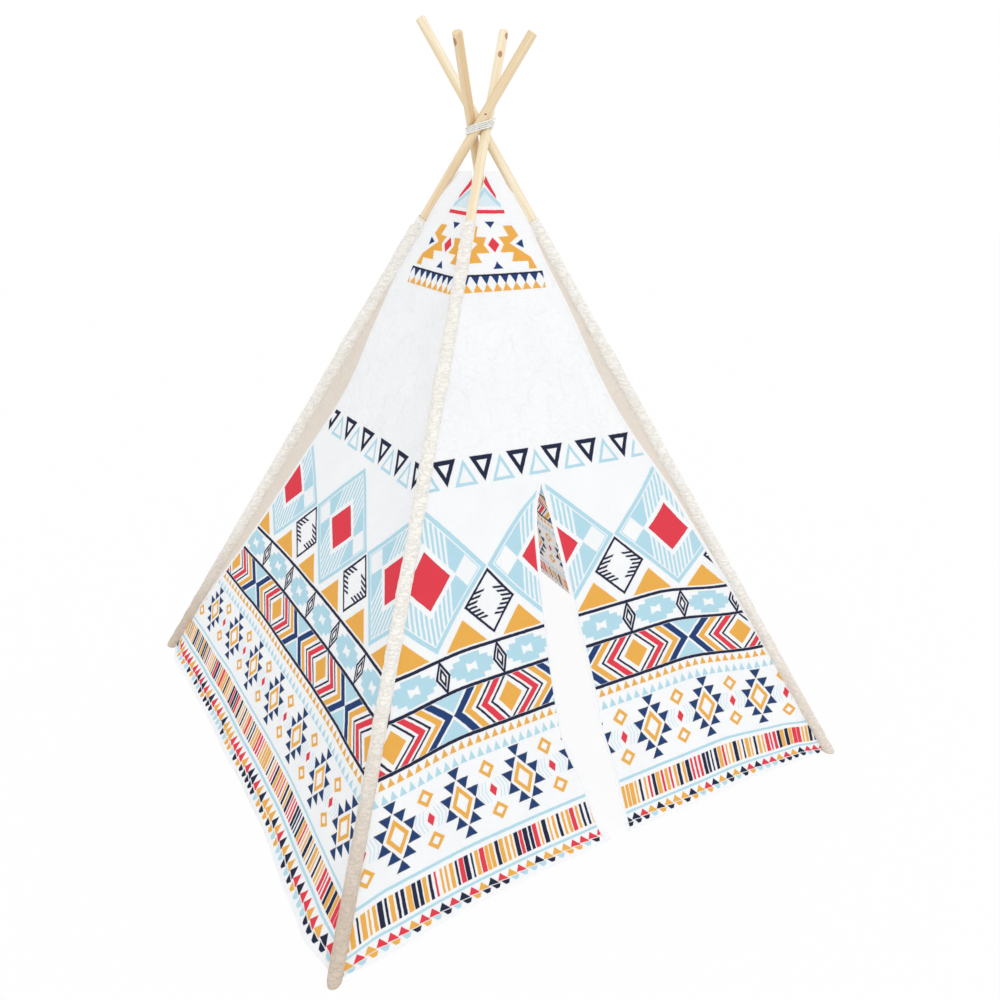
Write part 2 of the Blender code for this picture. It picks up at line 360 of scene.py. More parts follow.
    def thin(self, colour: Any, normal: Any, share: float) -> Material:
        """Lets a share of the light through, as thin cloth does."""
        return self.blend(
            share, self.node("BsdfTranslucent", None, {"Color": colour, "Normal": normal})
        )


# ---------------------------------------------------------------- the printed ornament


class Ink(Enum):
    """The cloth's inks, in the order they are laid on."""

    SKY = srgb(192, 228, 240)
    AMBER = srgb(242, 187, 84)
    RED = srgb(234, 62, 80)
    BLUE = srgb(20, 63, 124)
    NAVY = srgb(18, 30, 66)


@dataclass(frozen=True)
class OrnamentLayout:
    """Places and sizes of the geometric ornament: x across the wall, y up the cloth."""

    edge: float = 0.0009  # how soft an edge is
    waver: float = 0.0016  # how unsteady the outlines are
    hem_pitch: float = 0.0211
    stripe_pitch: float = 0.0113
    stripe_middle: float = 0.0725
    stripe_half: float = 0.0228
    sky_lines: tuple[float, float] = (0.0405, 0.1072)
    sky_line_half: float = 0.0029
    star_pitch: float = 0.1475
    star_middle: float = 0.1842
    star_step: float = 0.0205
    small_pitch: float = 0.0205
    navy_lines: Triple = (0.2922, 0.3800, 0.4475)
    navy_line_half: float = 0.0033
    motif_pitch: float = 0.2815
    chevron_middle: float = 0.3361
    chevron_half: float = 0.0400
    chevron_slope: float = 1.06
    oval_middle: float = 0.4137
    comb_middle: float = 0.5274
    kite_middle: float = 0.5957
    row_pitch: float = 0.0850
    row_top: float = 0.8015
    row_tip: float = 0.7512
    crown_half: float = 0.0975
    crown_bar: float = 1.1445
    centre_height: float = 1.2034
    border: float = 0.0085


class Ornament:
    """Bands of triangles, stripes, stars, chevrons and stepped diamonds, in plain shapes."""

    def __init__(self, graph: Graph, layout: OrnamentLayout) -> None:
        """Reads the cloth's own coordinates and lets them waver a little."""
        self.graph = graph
        self.layout = layout
        flat = graph.attribute("flat")
        x, y, self.border = graph.parts(flat)
        shake = graph.node("TexNoise", None, {"Vector": flat, "Scale": 85.0, "Detail": 1.0})
        dx, dy, _ = graph.parts(shake.outputs["Color"])
        self.x = x + dx.fit(layout.waver, -layout.waver / 2)
        self.y = y + dy.fit(layout.waver, -layout.waver / 2)
        self.inks: dict[Ink, list[Value]] = {ink: [] for ink in Ink}

    def drawn(self, depth: Value) -> Value:
        """1 inside a shape and 0 outside, from the depth inside its edge."""
        return depth.share(1 / self.layout.edge, 0.5)

    def ring(self, depth: Value, width: float) -> Value:
        """The outline of a shape, drawn inside its edge."""
        return self.drawn(width / 2 - abs(depth - width / 2))

    def lay(self, ink: Ink, mask: Value) -> None:
        """Adds a mask in one ink."""
        self.inks[ink].append(mask)

    def draw(self, ink: Ink, depth: Value, width: float = 0.0) -> None:
        """Adds a shape in one ink, or with a width only its outline."""
        self.lay(ink, self.ring(depth, width) if width else self.drawn(depth))

    def line(self, middle: float, half: float) -> Value:
        """Depth inside a level line."""
        return half - abs(self.y - middle)

    @staticmethod
    def peak(x: Value, y: Value, half: float, base: float, apex: float) -> Value:
        """Depth inside a triangle on a level base, whose apex is above or below it."""
        height = apex - base
        lean = half / abs(height)
        squeeze = 1 / hypot(1, lean)
        side = (1.0 if height > 0 else -1.0)
        slope = y.fit(-side * lean * squeeze, side * apex * lean * squeeze) - x * squeeze
        return slope & y.fit(side, -side * base)

    @staticmethod
    def kite(x: Value, y: Value, half_width: float, half_height: float) -> Value:
        """Depth inside a diamond, from distances to its middle."""
        squeeze = 1 / hypot(1 / half_width, 1 / half_height)
        return squeeze - (x * (squeeze / half_width) + y * (squeeze / half_height))

    def hem_row(self) -> None:
        """Leaning triangles along the hem, with their reflections under them."""
        size = self.layout
        graph, y = self.graph, self.y
        cell = self.x.repeated(size.hem_pitch)
        upper = (
            (y * -0.592 - cell * 0.806 + 0.01920)
            & (y * -0.472 + cell * 0.8815 + 0.01840)
            & (y * 0.989 + cell * 0.148 - 0.01720)
        )
        shift = 0.0035
        under = self.x.repeated(size.hem_pitch, shift)
        lower = (
            (0.01497 - under * 0.156 - y * 0.988)
            & (0.00375 - under * 0.905 + y * 0.426)
            & (under * 0.832 + y * 0.555 - 0.00209)
            & (y - 0.0047)
        )
        for depth, shifted, stops in (
            (upper, 0.0, ((Ink.RED, 0.0, 0.33), (Ink.AMBER, 0.33, 0.66), (Ink.NAVY, 0.66, 1.1))),
            (lower, shift, ((Ink.SKY, 0.0, 0.33), (Ink.NAVY, 0.33, 0.72), (Ink.AMBER, 0.72, 1.1))),
        ):
            pick = graph.chance(self.x.numbered(size.hem_pitch, shifted) + 7.0 * (shifted > 0))[0]
            shape = self.drawn(depth)
            for ink, low, high in stops:
                self.lay(ink, shape * ((pick > low) * (pick < high)))

    def stripes(self) -> None:
        """Upright stripes of uneven width and colour."""
        size = self.layout
        width, pick, move = self.graph.chance(self.x.numbered(size.stripe_pitch) + 31.0)
        cell = self.x.repeated(size.stripe_pitch)
        depth = width.fit(0.0036, 0.0020) - abs(cell + move.fit(0.0016, -0.0008))
        shape = self.drawn(depth & self.line(size.stripe_middle, size.stripe_half))
        self.lay(Ink.AMBER, shape * (pick < 0.43))
        self.lay(Ink.RED, shape * ((pick > 0.43) * (pick < 0.58)))
        self.lay(Ink.NAVY, shape * (pick > 0.58))

    def lines(self) -> None:
        """The level lines between the bands."""
        size = self.layout
        for middle in size.sky_lines:
            self.draw(Ink.SKY, self.line(middle, size.sky_line_half))
        for middle in size.navy_lines:
            self.draw(Ink.NAVY, self.line(middle, size.navy_line_half))

    def stars(self) -> None:
        """Eight-armed stars of triangles, with small diamonds and chevrons between them."""
        size = self.layout
        x = self.x.mirrored(size.star_pitch)
        y = abs(self.y - size.star_middle)
        step = (y / size.star_step).math("FLOOR") & 3.0
        rise = y - step * size.star_step
        away = abs(x - step.fit(-0.01575, 0.0315))
        depth = (rise * 0.585 - away * 0.81) & (0.0196 - rise) & step.fit(-1.0, 2.5)
        self.draw(Ink.NAVY, depth, 0.0013)
        self.draw(Ink.BLUE, depth - 0.0010)
        self.draw(Ink.AMBER, self.kite(x, y, 0.0245, 0.0315), 0.0078)
        between = self.x.mirrored(size.star_pitch, size.star_pitch / 2)
        self.draw(Ink.RED, self.kite(between, y, 0.0088, 0.0125))
        self.draw(Ink.AMBER, self.kite(between, abs(y - 0.0385), 0.0190, 0.0170), 0.0064)
        outward = y * 0.36 + between
        for tip in (0.0180, 0.0262, 0.0344):
            arm = 0.0009 - abs(outward - tip)
            self.lay(Ink.SKY, self.drawn(arm & (0.0185 - y)) * 0.8)

    def small_rows(self) -> None:
        """Two rows of small triangles."""
        size = self.layout
        x = self.x.mirrored(size.small_pitch)
        self.draw(Ink.SKY, self.peak(x, self.y, 0.0082, 0.2475, 0.2640))
        self.draw(Ink.AMBER, self.peak(x, self.y, 0.0084, 0.2722, 0.2875))

    def chevrons(self) -> None:
        """Nested chevrons between crosses and diamonds."""
        size = self.layout
        y = abs(self.y - size.chevron_middle)
        away = self.x.mirrored(size.motif_pitch, size.motif_pitch / 2)
        reach = y * size.chevron_slope + away
        inside = size.chevron_half - y
        squeeze = 0.69  # from a reach to its distance at right angles
        for ink, low, high in (
            (Ink.NAVY, 0.0440, 0.0502),
            (Ink.RED, 0.0575, 0.0745),
            (Ink.NAVY, 0.0812, 0.0874),
            (Ink.AMBER, 0.0980, 0.1145),
            (Ink.BLUE, 0.1205, 0.1402),
            (Ink.SKY, 0.1475, 0.3000),
        ):
            half = (high - low) / 2 * squeeze
            arm = half - abs(reach * squeeze - (low + high) / 2 * squeeze)
            self.draw(ink, arm & inside)
        self.draw(Ink.AMBER, self.kite(away, y, 0.0300, 0.0300))

    def ovals(self) -> None:
        """Stepped ovals with bow ties, and double diamonds between them."""
        size = self.layout
        x = self.x.mirrored(size.motif_pitch / 2)
        y = abs(self.y - size.oval_middle)
        away = size.motif_pitch / 4 - x
        steps = (y / 0.0088).math("FLOOR")
        width = 0.0520 - steps * 0.0050 - steps * steps * 0.0045
        oval = (width - away) & (0.0264 - y)
        bow = (away * 0.40 + 0.0045 - y) & (0.0125 - away)
        self.lay(Ink.SKY, self.drawn(oval) * (1.0 - self.drawn(bow)))
        self.draw(Ink.NAVY, self.kite(x, y, 0.0180, 0.0350), 0.0050)
        self.draw(Ink.NAVY, self.kite(x, y, 0.0092, 0.0210), 0.0044)
        self.draw(Ink.AMBER, self.peak(away, self.y, 0.0500, 0.4545, 0.5065))

    def combs(self) -> None:
        """Outlined diamonds with a comb of short bars on either side."""
        size = self.layout
        x = self.x.mirrored(size.motif_pitch, size.motif_pitch / 2)
        rise = self.y - size.comb_middle
        y = abs(rise)
        depth = self.kite(x, y, 0.0625, 0.0640)
        self.draw(Ink.NAVY, depth, 0.0052)
        bar = 0.0022 - abs((x * 0.10 + rise).repeated(0.0084))
        reach = (0.0200 - depth) & (0.0290 - y) & (depth - 0.0020)
        self.draw(Ink.NAVY, bar & reach)

    def kites(self) -> None:
        """Large pale diamonds, hatched and studded, each round a red one."""
        size = self.layout
        x = self.x.mirrored(size.motif_pitch)
        y = abs(self.y - size.kite_middle)
        depth = self.kite(x, y, 0.1395, 0.1345)
        outline = self.ring(depth, 0.0090)
        hatch = self.drawn(0.0030 - x.mirrored(0.0108))
        body = self.drawn(depth - 0.0115) * (self.drawn(x - 0.0545) | hatch)
        stud = self.drawn(self.kite(abs(x - 0.0910), y, 0.0285, 0.0285))
        around = self.drawn(self.kite(x, y, 0.0660, 0.0655))
        self.lay(Ink.SKY, outline | (body * (1.0 - (stud | around))))
        heart = self.kite(x, y, 0.0515, 0.0510)
        self.draw(Ink.RED, heart)
        self.lay(Ink.NAVY, self.ring(heart, 0.0008) * 0.55)

    def triangle_row(self) -> None:
        """A row of outlined triangles, point down, and paler ones between them."""
        size = self.layout
        x = self.x.mirrored(size.row_pitch)
        away = size.row_pitch / 2 - x
        depth = self.peak(away, self.y, 0.0272, size.row_top, size.row_tip)
        self.draw(Ink.NAVY, depth, 0.0088)
        self.draw(Ink.BLUE, depth - 0.0010, 0.0070)
        pale = self.peak(x, self.y, 0.0262, 0.7480, 0.7985)
        self.draw(Ink.SKY, pale, 0.0060)

    def crown(self) -> None:
        """The stepped figure at the tip, over a bar and two rows of triangles."""
        size = self.layout
        x, y = abs(self.x), self.y
        within = size.crown_half - x
        cell = self.x.mirrored(0.0222, 0.0111)
        self.draw(Ink.NAVY, self.line(size.crown_bar, 0.0019) & within)
        self.draw(Ink.BLUE, self.peak(cell, y, 0.0094, 1.1435, 1.1262) & within)
        self.draw(Ink.AMBER, self.peak(cell, y, 0.0104, 1.1120, 1.1280) & within)
        low, high = 1.1522, 1.2405
        at = y.fit(1 / (high - low), -low / (high - low))
        inner = ((1.1522, 0.0695), (1.1680, 0.0711), (1.1687, 0.0345), (1.1872, 0.0430),
                 (1.1880, 0.0128), (1.2035, 0.0237), (1.2189, 0.0145), (1.2196, 0.0380),
                 (1.2405, 0.0295))
        outer = ((1.1522, 0.0870), (1.1755, 0.0787), (1.2055, 0.0380), (1.2200, 0.0610),
                 (1.2405, 0.0503))
        bounds = []
        for points in (inner, outer):
            stops = [((place - low) / (high - low), value * 10) for place, value in points]
            ramp = self.graph.node("ValToRGB", {"stops": stops}, {0: at})
            bounds.append(self.graph.parts(ramp.outputs[0])[0] * 0.1)
        figure = (x - bounds[0]) & (bounds[1] - x) & (y - low) & (high - y)
        self.draw(Ink.AMBER, figure)
        heart = self.kite(x, abs(y - size.centre_height), 0.0140, 0.0156)
        self.draw(Ink.RED, heart)
        self.draw(Ink.BLUE, self.peak(x, y, 0.0125, 1.1560, 1.1706))
        self.draw(Ink.BLUE, self.peak(x, y, 0.0128, 1.2492, 1.2365))
        side = abs(y - size.centre_height)
        self.draw(Ink.BLUE, (0.0675 - x) & (x * 0.47 - side * 0.88 - 0.0240))
        self.draw(Ink.RED, self.line(1.2685, 0.0036) & (0.0400 - x))
        roof = y + x * 0.95
        self.draw(Ink.SKY, (0.0050 - abs(roof - 1.3130)) & (0.0345 - x))
        self.lay(Ink.SKY, self.drawn((1.3130 - roof) & (y - 1.2790)) * 0.40)
        arch = (0.0150 - x * 0.40) - abs(y + x * 1.62 - 1.3420)
        self.draw(Ink.RED, (arch * 0.5) & (0.0270 - x))

    def colour(self, cloth: Any) -> NodeSocket:
        """Draws every band.

        Args:
            cloth: Colour of the bare cloth.

        Returns:
            The printed cloth's colour.
        """
        for band in (
            self.hem_row, self.stripes, self.lines, self.stars, self.small_rows, self.chevrons,
            self.ovals, self.combs, self.kites, self.triangle_row, self.crown,
        ):
            band()
        bare = self.drawn(self.border - self.layout.border)
        colour = cloth
        for ink in Ink:
            masks = self.inks[ink]
            whole = masks[0]
            for mask in masks[1:]:
                whole = whole | mask
            colour = self.graph.mix(whole * bare, colour, ink.value)
        return colour


# ---------------------------------------------------------------- finishes


@dataclass(frozen=True)
class PrintedCotton:
    """Thin white cotton with the ornament, its weave, creases and stitched hem."""

    name: str
    reverse: bool = False
    creases: float = 0.60
    white: Colour = srgb(252, 253, 254)
    paler: float = 0.06  # of the print on the reverse
    seam: Colour = srgb(236, 227, 216)  # the sleeves' cloth, where it laps over the wall
    let_through: float = 0.22  # share of the light that shines on through one face
    glow: float = 0.28  # painted light: the reverse glows, standing in for the daylight that thin cloth scatters inwards
    hem_stitch: float = 0.0155  # height of the stitches along the hem
    side_stitch: float = 0.0075  # distance of the stitches from a bound edge
    warp_pitch: float = 0.0011
    weft_pitch: float = 0.0012

    def material(self) -> Material:
        """Builds the finish."""
        graph = Graph(self.name)
        flat = graph.attribute("flat")
        x, y, border = graph.parts(flat)
        mottle = graph.grain(flat, 9.0, 3.0)
        cloth = graph.mix(mottle.share(2.4, -0.75), self.white, srgb(248, 250, 252))
        colour = Ornament(graph, OrnamentLayout()).colour(cloth)
        if self.reverse:
            colour = graph.mix(self.paler, colour, srgb(226, 206, 170))
        ink_grain = graph.grain(flat, (1500.0, 1500.0, 0.0), 1.0)
        colour = graph.mix(ink_grain.share(0.14, -0.05), colour, self.white)
        strip = (0.0 - border).share(900.0, 0.0)
        colour = graph.mix(strip * 0.9, colour, self.seam)
        stitch_height = abs(y - self.hem_stitch)
        dash = x.repeated(0.0042)
        stitch = ((0.0006 - stitch_height) & (0.0014 - abs(dash))).share(1600.0, 0.5)
        dash = y.repeated(0.0040)
        side_stitch = (0.0005 - abs(border - self.side_stitch)) & (0.0013 - abs(dash))
        stitch = stitch | side_stitch.share(1600.0, 0.5)
        # painted shade: the white thread's stitches are drawn grey, for the shade where they sink
        # into the cloth
        colour = graph.mix(stitch * 0.45, colour, srgb(214, 214, 216))
        warp = x.math("MULTIPLY", 2 * pi / self.warp_pitch).math("SINE")
        weft = y.math("MULTIPLY", 2 * pi / self.weft_pitch).math("SINE")
        weave = graph.bump(warp * weft + stitch * 3.0, 0.10, 0.0004)
        first = graph.grain(flat, (13.0, 9.0, 0.0), 3.0, 0.55)
        second = graph.grain(flat, (34.0, 42.0, 0.0), 2.0, 0.5)
        ridge = abs(first - 0.5).share(-16.0, 1.0)
        fine = abs(second - 0.5).share(-13.0, 1.0)
        zone = (abs(y - 0.95) * -7.0 + 1.9).math("MAXIMUM", 0.35, clamp=True)
        crumple = (ridge + fine * 0.5) * zone
        normal = graph.bump(crumple, self.creases, 0.0022, weave)
        graph.finish(Base_Color=colour, Roughness=0.85, Normal=normal, Specular_IOR_Level=0.10)
        if self.reverse:
            # painted light: the reverse glows in its own colours
            graph.finish(Emission_Color=colour, Emission_Strength=self.glow)
        return graph.thin(colour, normal, self.let_through)


@dataclass(frozen=True)
class SleeveCotton:
    """Plain cream cotton, with painted shade: darker towards the foot and in its creases."""

    name: str = "cream_cotton"
    upper: Colour = srgb(249, 247, 241)
    # painted shade: lower is the darker colour towards the foot, fading out over turn_height
    lower: Colour = srgb(212, 197, 181)
    turn_height: float = 0.30

    def material(self) -> Material:
        """Builds the finish."""
        graph = Graph(self.name)
        place = graph.place()
        _, _, z = graph.parts(place)
        blotch = graph.grain(place, 24.0, 3.0)
        # painted shade: darker towards the foot
        rise = (z + blotch.fit(0.12, -0.06)).share(1 / self.turn_height, -0.35)
        colour = graph.mix(rise, self.lower, self.upper)
        fleck = graph.grain(place, 420.0, 2.0)
        colour = graph.mix(fleck.share(0.7, -0.30), colour, srgb(228, 214, 198))
        weave = graph.grain(place, 1500.0, 1.0)
        crease = graph.grain(place, (90.0, 90.0, 170.0), 3.0)
        normal = graph.bump(weave, 0.12, 0.0004)
        fold = graph.grain(place, (60.0, 60.0, 210.0), 2.0, 0.5)
        # painted shade in the creases' valleys
        shade = abs(fold - 0.5).share(-16.0, 0.8) * 0.22
        colour = graph.mix(shade, colour, srgb(206, 186, 160))
        normal = graph.bump(crease - shade * 2.0, 0.70, 0.0030, normal)
        return graph.finish(
            Base_Color=colour, Roughness=0.86, Normal=normal, Specular_IOR_Level=0.12,
        )


@dataclass(frozen=True)
class PineFinish:
    """Pale bare pine, its grain running along one pole."""

    name: str
    axis: Vector
    origin: Vector
    knots: Curve = ()  # run from the crossing and angle round the pole
    light: Colour = srgb(252, 244, 222)
    dark: Colour = srgb(240, 217, 176)
    knot: Colour = srgb(172, 106, 56)

    def material(self) -> Material:
        """Builds the finish."""
        graph = Graph(self.name)
        side = self.axis.cross(Vector((0, 0, 1))).normalized()
        back = self.axis.cross(side).normalized()
        place = graph.node(
            "VectorMath", {"operation": "SUBTRACT"}, {0: graph.place(), 1: tuple(self.origin)}
        ).outputs[0]
        run, across, depth = (
            Value(graph, graph.node(
                "VectorMath", {"operation": "DOT_PRODUCT"}, {0: place, 1: tuple(way)}
            ).outputs["Value"])
            for way in (self.axis, side, back)
        )
        swerve = graph.grain(graph.joined(run * 2.2, across * 14.0, depth * 14.0), 1.0, 2.0)
        ring = graph.grain(
            graph.joined(run * 1.6, across * 230.0 + swerve * 5.0, depth * 95.0), 1.0, 3.0, 0.6
        )
        fibre = graph.grain(graph.joined(run * 26.0, across * 900.0, depth * 900.0), 1.0, 2.0)
        colour = graph.mix(ring.share(2.6, -0.85), self.light, self.dark)
        colour = graph.mix(fibre.share(1.3, -0.50), colour, srgb(226, 198, 152))
        for height, angle in self.knots:
            ahead = across * cos(angle) + depth * sin(angle)
            beside = depth * cos(angle) - across * sin(angle)
            far = (
                (run - height) * (run - height) * 0.35 + beside * beside
            ).math("SQRT")
            spot = (0.0046 - far).share(900.0, 0.3) * (ahead > 0.0)
            colour = graph.mix(spot * 0.8, colour, self.knot)
        normal = graph.bump(fibre * 0.5 + ring, 0.16, 0.0006)
        return graph.finish(
            Base_Color=colour, Roughness=ring.fit(0.20, 0.50), Normal=normal,
            Specular_IOR_Level=0.35,
        )


@dataclass(frozen=True)
class ZincFinish:
    """Zinc-plated steel tube with faint drawing lines."""

    name: str = "zinc_tube"

    def material(self) -> Material:
        """Builds the finish."""
        graph = Graph(self.name)
        place = graph.place()
        spangle = graph.grain(place, 160.0, 3.0)
        lines = graph.grain(place, (900.0, 900.0, 60.0), 1.0)
        colour = graph.mix(spangle, srgb(176, 179, 184), srgb(205, 207, 210))
        normal = graph.bump(lines, 0.12, 0.0003)
        return graph.finish(
            Base_Color=colour, Metallic=1.0, Roughness=spangle.fit(0.25, 0.22), Normal=normal
        )


@dataclass(frozen=True)
class CordFinish:
    """White cotton cord: fine fibres along each strand."""

    name: str = "white_cotton_cord"

    def material(self) -> Material:
        """Builds the finish."""
        graph = Graph(self.name)
        place = graph.place()
        fibre = graph.grain(place, (900.0, 900.0, 2600.0), 2.0)
        soil = graph.grain(place, 120.0, 2.0)
        soiled = soil.share(1.4, -0.40)
        colour = graph.mix(soiled, srgb(250, 250, 247), srgb(228, 226, 220))
        normal = graph.bump(fibre, 0.35, 0.0004)
        return graph.finish(Base_Color=colour, Roughness=0.88, Normal=normal, Sheen_Weight=0.15)


# ---------------------------------------------------------------- the tent's frame


class Corner(Enum):
    """The four poles, each with its label and its azimuth in degrees."""

    FRONT_LEFT = ("front_left", -135.0)
    FRONT_RIGHT = ("front_right", -45.0)
    BACK_RIGHT = ("back_right", 45.0)
    BACK_LEFT = ("back_left", 135.0)

    @property
    def label(self) -> str:
        """Word used in the names of its pieces."""
        return self.value[0]

    @property
    def azimuth(self) -> float:
        """Direction from the middle, in radians."""
        return radians(self.value[1])

    @property
    def body(self) -> str:
        """The moving body that carries the pole."""
        return self.label.split("_")[0] + "_frame"


@dataclass(frozen=True)
class TentFrame:
    """Sizes of the poles' frame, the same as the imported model's."""

    base_side: float = 1.200
    crossing_height: float = 1.308
    gap: float = 0.0003
    pole_radius: float = 0.0095
    upper_joint_run: float = 1.030
    sleeve_radius: float = 0.0121
    sleeve_bore: float = 0.0111
    cuff_extra: float = 0.0004
    sleeve_top_drop: float = 0.205
    cuff_height: float = 0.022
    hem_height: float = 0.012
    slit_length: float = 0.735
    slit_shift: float = 0.020
    flap_top_width: float = 0.010
    flap_hem_width: float = 0.300
    fold_limit: float = radians(20)

    @property
    def foot_circle(self) -> float:
        """From the middle to a pole's foot."""
        return self.base_side / sqrt(2)

    @property
    def lean(self) -> float:
        """A pole's angle from upright."""
        return atan2(self.foot_circle, self.crossing_height)

    @property
    def pole_run(self) -> float:
        """From a foot to the crossing, along the pole."""
        return hypot(self.foot_circle, self.crossing_height)

    @property
    def crossing_offset(self) -> float:
        """How far each pole passes beside the middle."""
        wide = sqrt(2 * cos(self.lean) ** 2 + sin(self.lean) ** 2)
        return (2 * self.pole_radius + self.gap) * wide / (2 * cos(self.lean))

    @property
    def wall_run(self) -> float:
        """From the floor to the crossing, up a wall's middle."""
        return hypot(self.base_side / 2, self.crossing_height)

    @property
    def wall_slope(self) -> float:
        """A wall's angle from upright."""
        return atan2(self.base_side / 2, self.crossing_height)

    @property
    def cuff_share(self) -> float:
        """Height of the sleeves' tops, as a share of the crossing's."""
        return 1 - self.sleeve_top_drop / self.pole_run

    @property
    def hem_share(self) -> float:
        """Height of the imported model's hem, as a share."""
        return self.hem_height / self.crossing_height

    @property
    def slit_share(self) -> float:
        """Height of the slit's top, as a share."""
        return self.hem_share + self.slit_length / self.wall_run

    def axes(self, corner: Corner) -> tuple[Vector, Vector, Vector]:
        """Outward, sideways and upward directions of a pole's plane."""
        azimuth = corner.azimuth - atan2(self.crossing_offset, self.foot_circle)
        outward = Vector((cos(azimuth), sin(azimuth), 0))
        return outward, Vector((-sin(azimuth), cos(azimuth), 0)), Vector((0, 0, 1))

    def on_axis(self, corner: Corner, share: float) -> Vector:
        """A point on a pole's axis, from the floor (0) to the crossing (1) and beyond."""
        outward, sideways, up = self.axes(corner)
        foot = outward * self.foot_circle + sideways * self.crossing_offset
        top = sideways * self.crossing_offset + up * self.crossing_height
        return foot + (top - foot) * share

    def pole_way(self, corner: Corner) -> Vector:
        """The direction up a pole."""
        return (self.on_axis(corner, 1) - self.on_axis(corner, 0)).normalized()

    def wall_face(self, left: Corner) -> Vector:
        """Outward direction of the wall that runs on from a corner, counter-clockwise."""
        azimuth = left.azimuth + pi / 4
        level, rise = cos(self.wall_slope), sin(self.wall_slope)
        return Vector((cos(azimuth) * level, sin(azimuth) * level, rise))


# ---------------------------------------------------------------- cloth


@dataclass
class ClothGrid:
    """A sheet of even thickness over a grid: printed face outside, reverse inside."""

    name: str
    columns: int
    rows: int
    place: Callable[[int, int], tuple[Vector, Vector, Vector]]  # point, normal, flat coordinates
    thickness: float = 0.0010
    left_out: Callable[[int, int], bool] | None = None

    def build(self, face: Material, reverse: Material) -> Object:
        """Makes the sheet.

        Args:
            face: Finish of the printed side.
            reverse: Finish of the inner side and the edges.

        Returns:
            The sheet, placed in the tent's frame.
        """
        wide = self.columns + 1
        cells = [
            (column, row)
            for row in range(self.rows)
            for column in range(self.columns)
            if not (self.left_out and self.left_out(column, row))
        ]
        quads = [
            (
                row * wide + column,
                row * wide + column + 1,
                (row + 1) * wide + column + 1,
                (row + 1) * wide + column,
            )
            for column, row in cells
        ]
        used = sorted({corner for quad in quads for corner in quad})
        number = {corner: count for count, corner in enumerate(used)}
        outer, inner, flats = [], [], []
        for corner in used:
            point, normal, flat = self.place(corner % wide, corner // wide)
            outer.append(point + normal * (self.thickness / 2))
            inner.append(point - normal * (self.thickness / 2))
            flats.append(flat)
        shift = len(used)
        faces = [tuple(number[corner] for corner in quad) for quad in quads]
        edges: dict[tuple[int, int], int] = {}
        for quad in faces:
            for first, second in zip(quad, quad[1:] + quad[:1]):
                edges[(first, second)] = 1
        rim = [(a, b) for a, b in edges if (b, a) not in edges]
        layers = faces + [tuple(corner + shift for corner in reversed(quad)) for quad in faces]
        layers += [(b, a, a + shift, b + shift) for a, b in rim]
        piece = add_mesh(self.name, outer + inner, layers, (face, reverse), sharp=50)
        kinds = [0] * len(faces) + [1] * (len(faces) + len(rim))
        piece.data.polygons.foreach_set("material_index", kinds)
        attribute = piece.data.attributes.new("flat", "FLOAT_VECTOR", "POINT")
        attribute.data.foreach_set("vector", [part for flat in flats + flats for part in flat])
        return piece


class WallKind(Enum):
    """The four walls: name, corners at the left and right seen from outside, and body."""

    FRONT = ("wall_front", Corner.FRONT_LEFT, Corner.FRONT_RIGHT, "front_frame")
    LEFT = ("wall_left", Corner.BACK_LEFT, Corner.FRONT_LEFT, "side_walls")
    RIGHT = ("wall_right", Corner.FRONT_RIGHT, Corner.BACK_RIGHT, "side_walls")
    BACK = ("wall_back", Corner.BACK_RIGHT, Corner.BACK_LEFT, "back_frame")


FAR = 0.1  # distance from a bound edge, where none is near


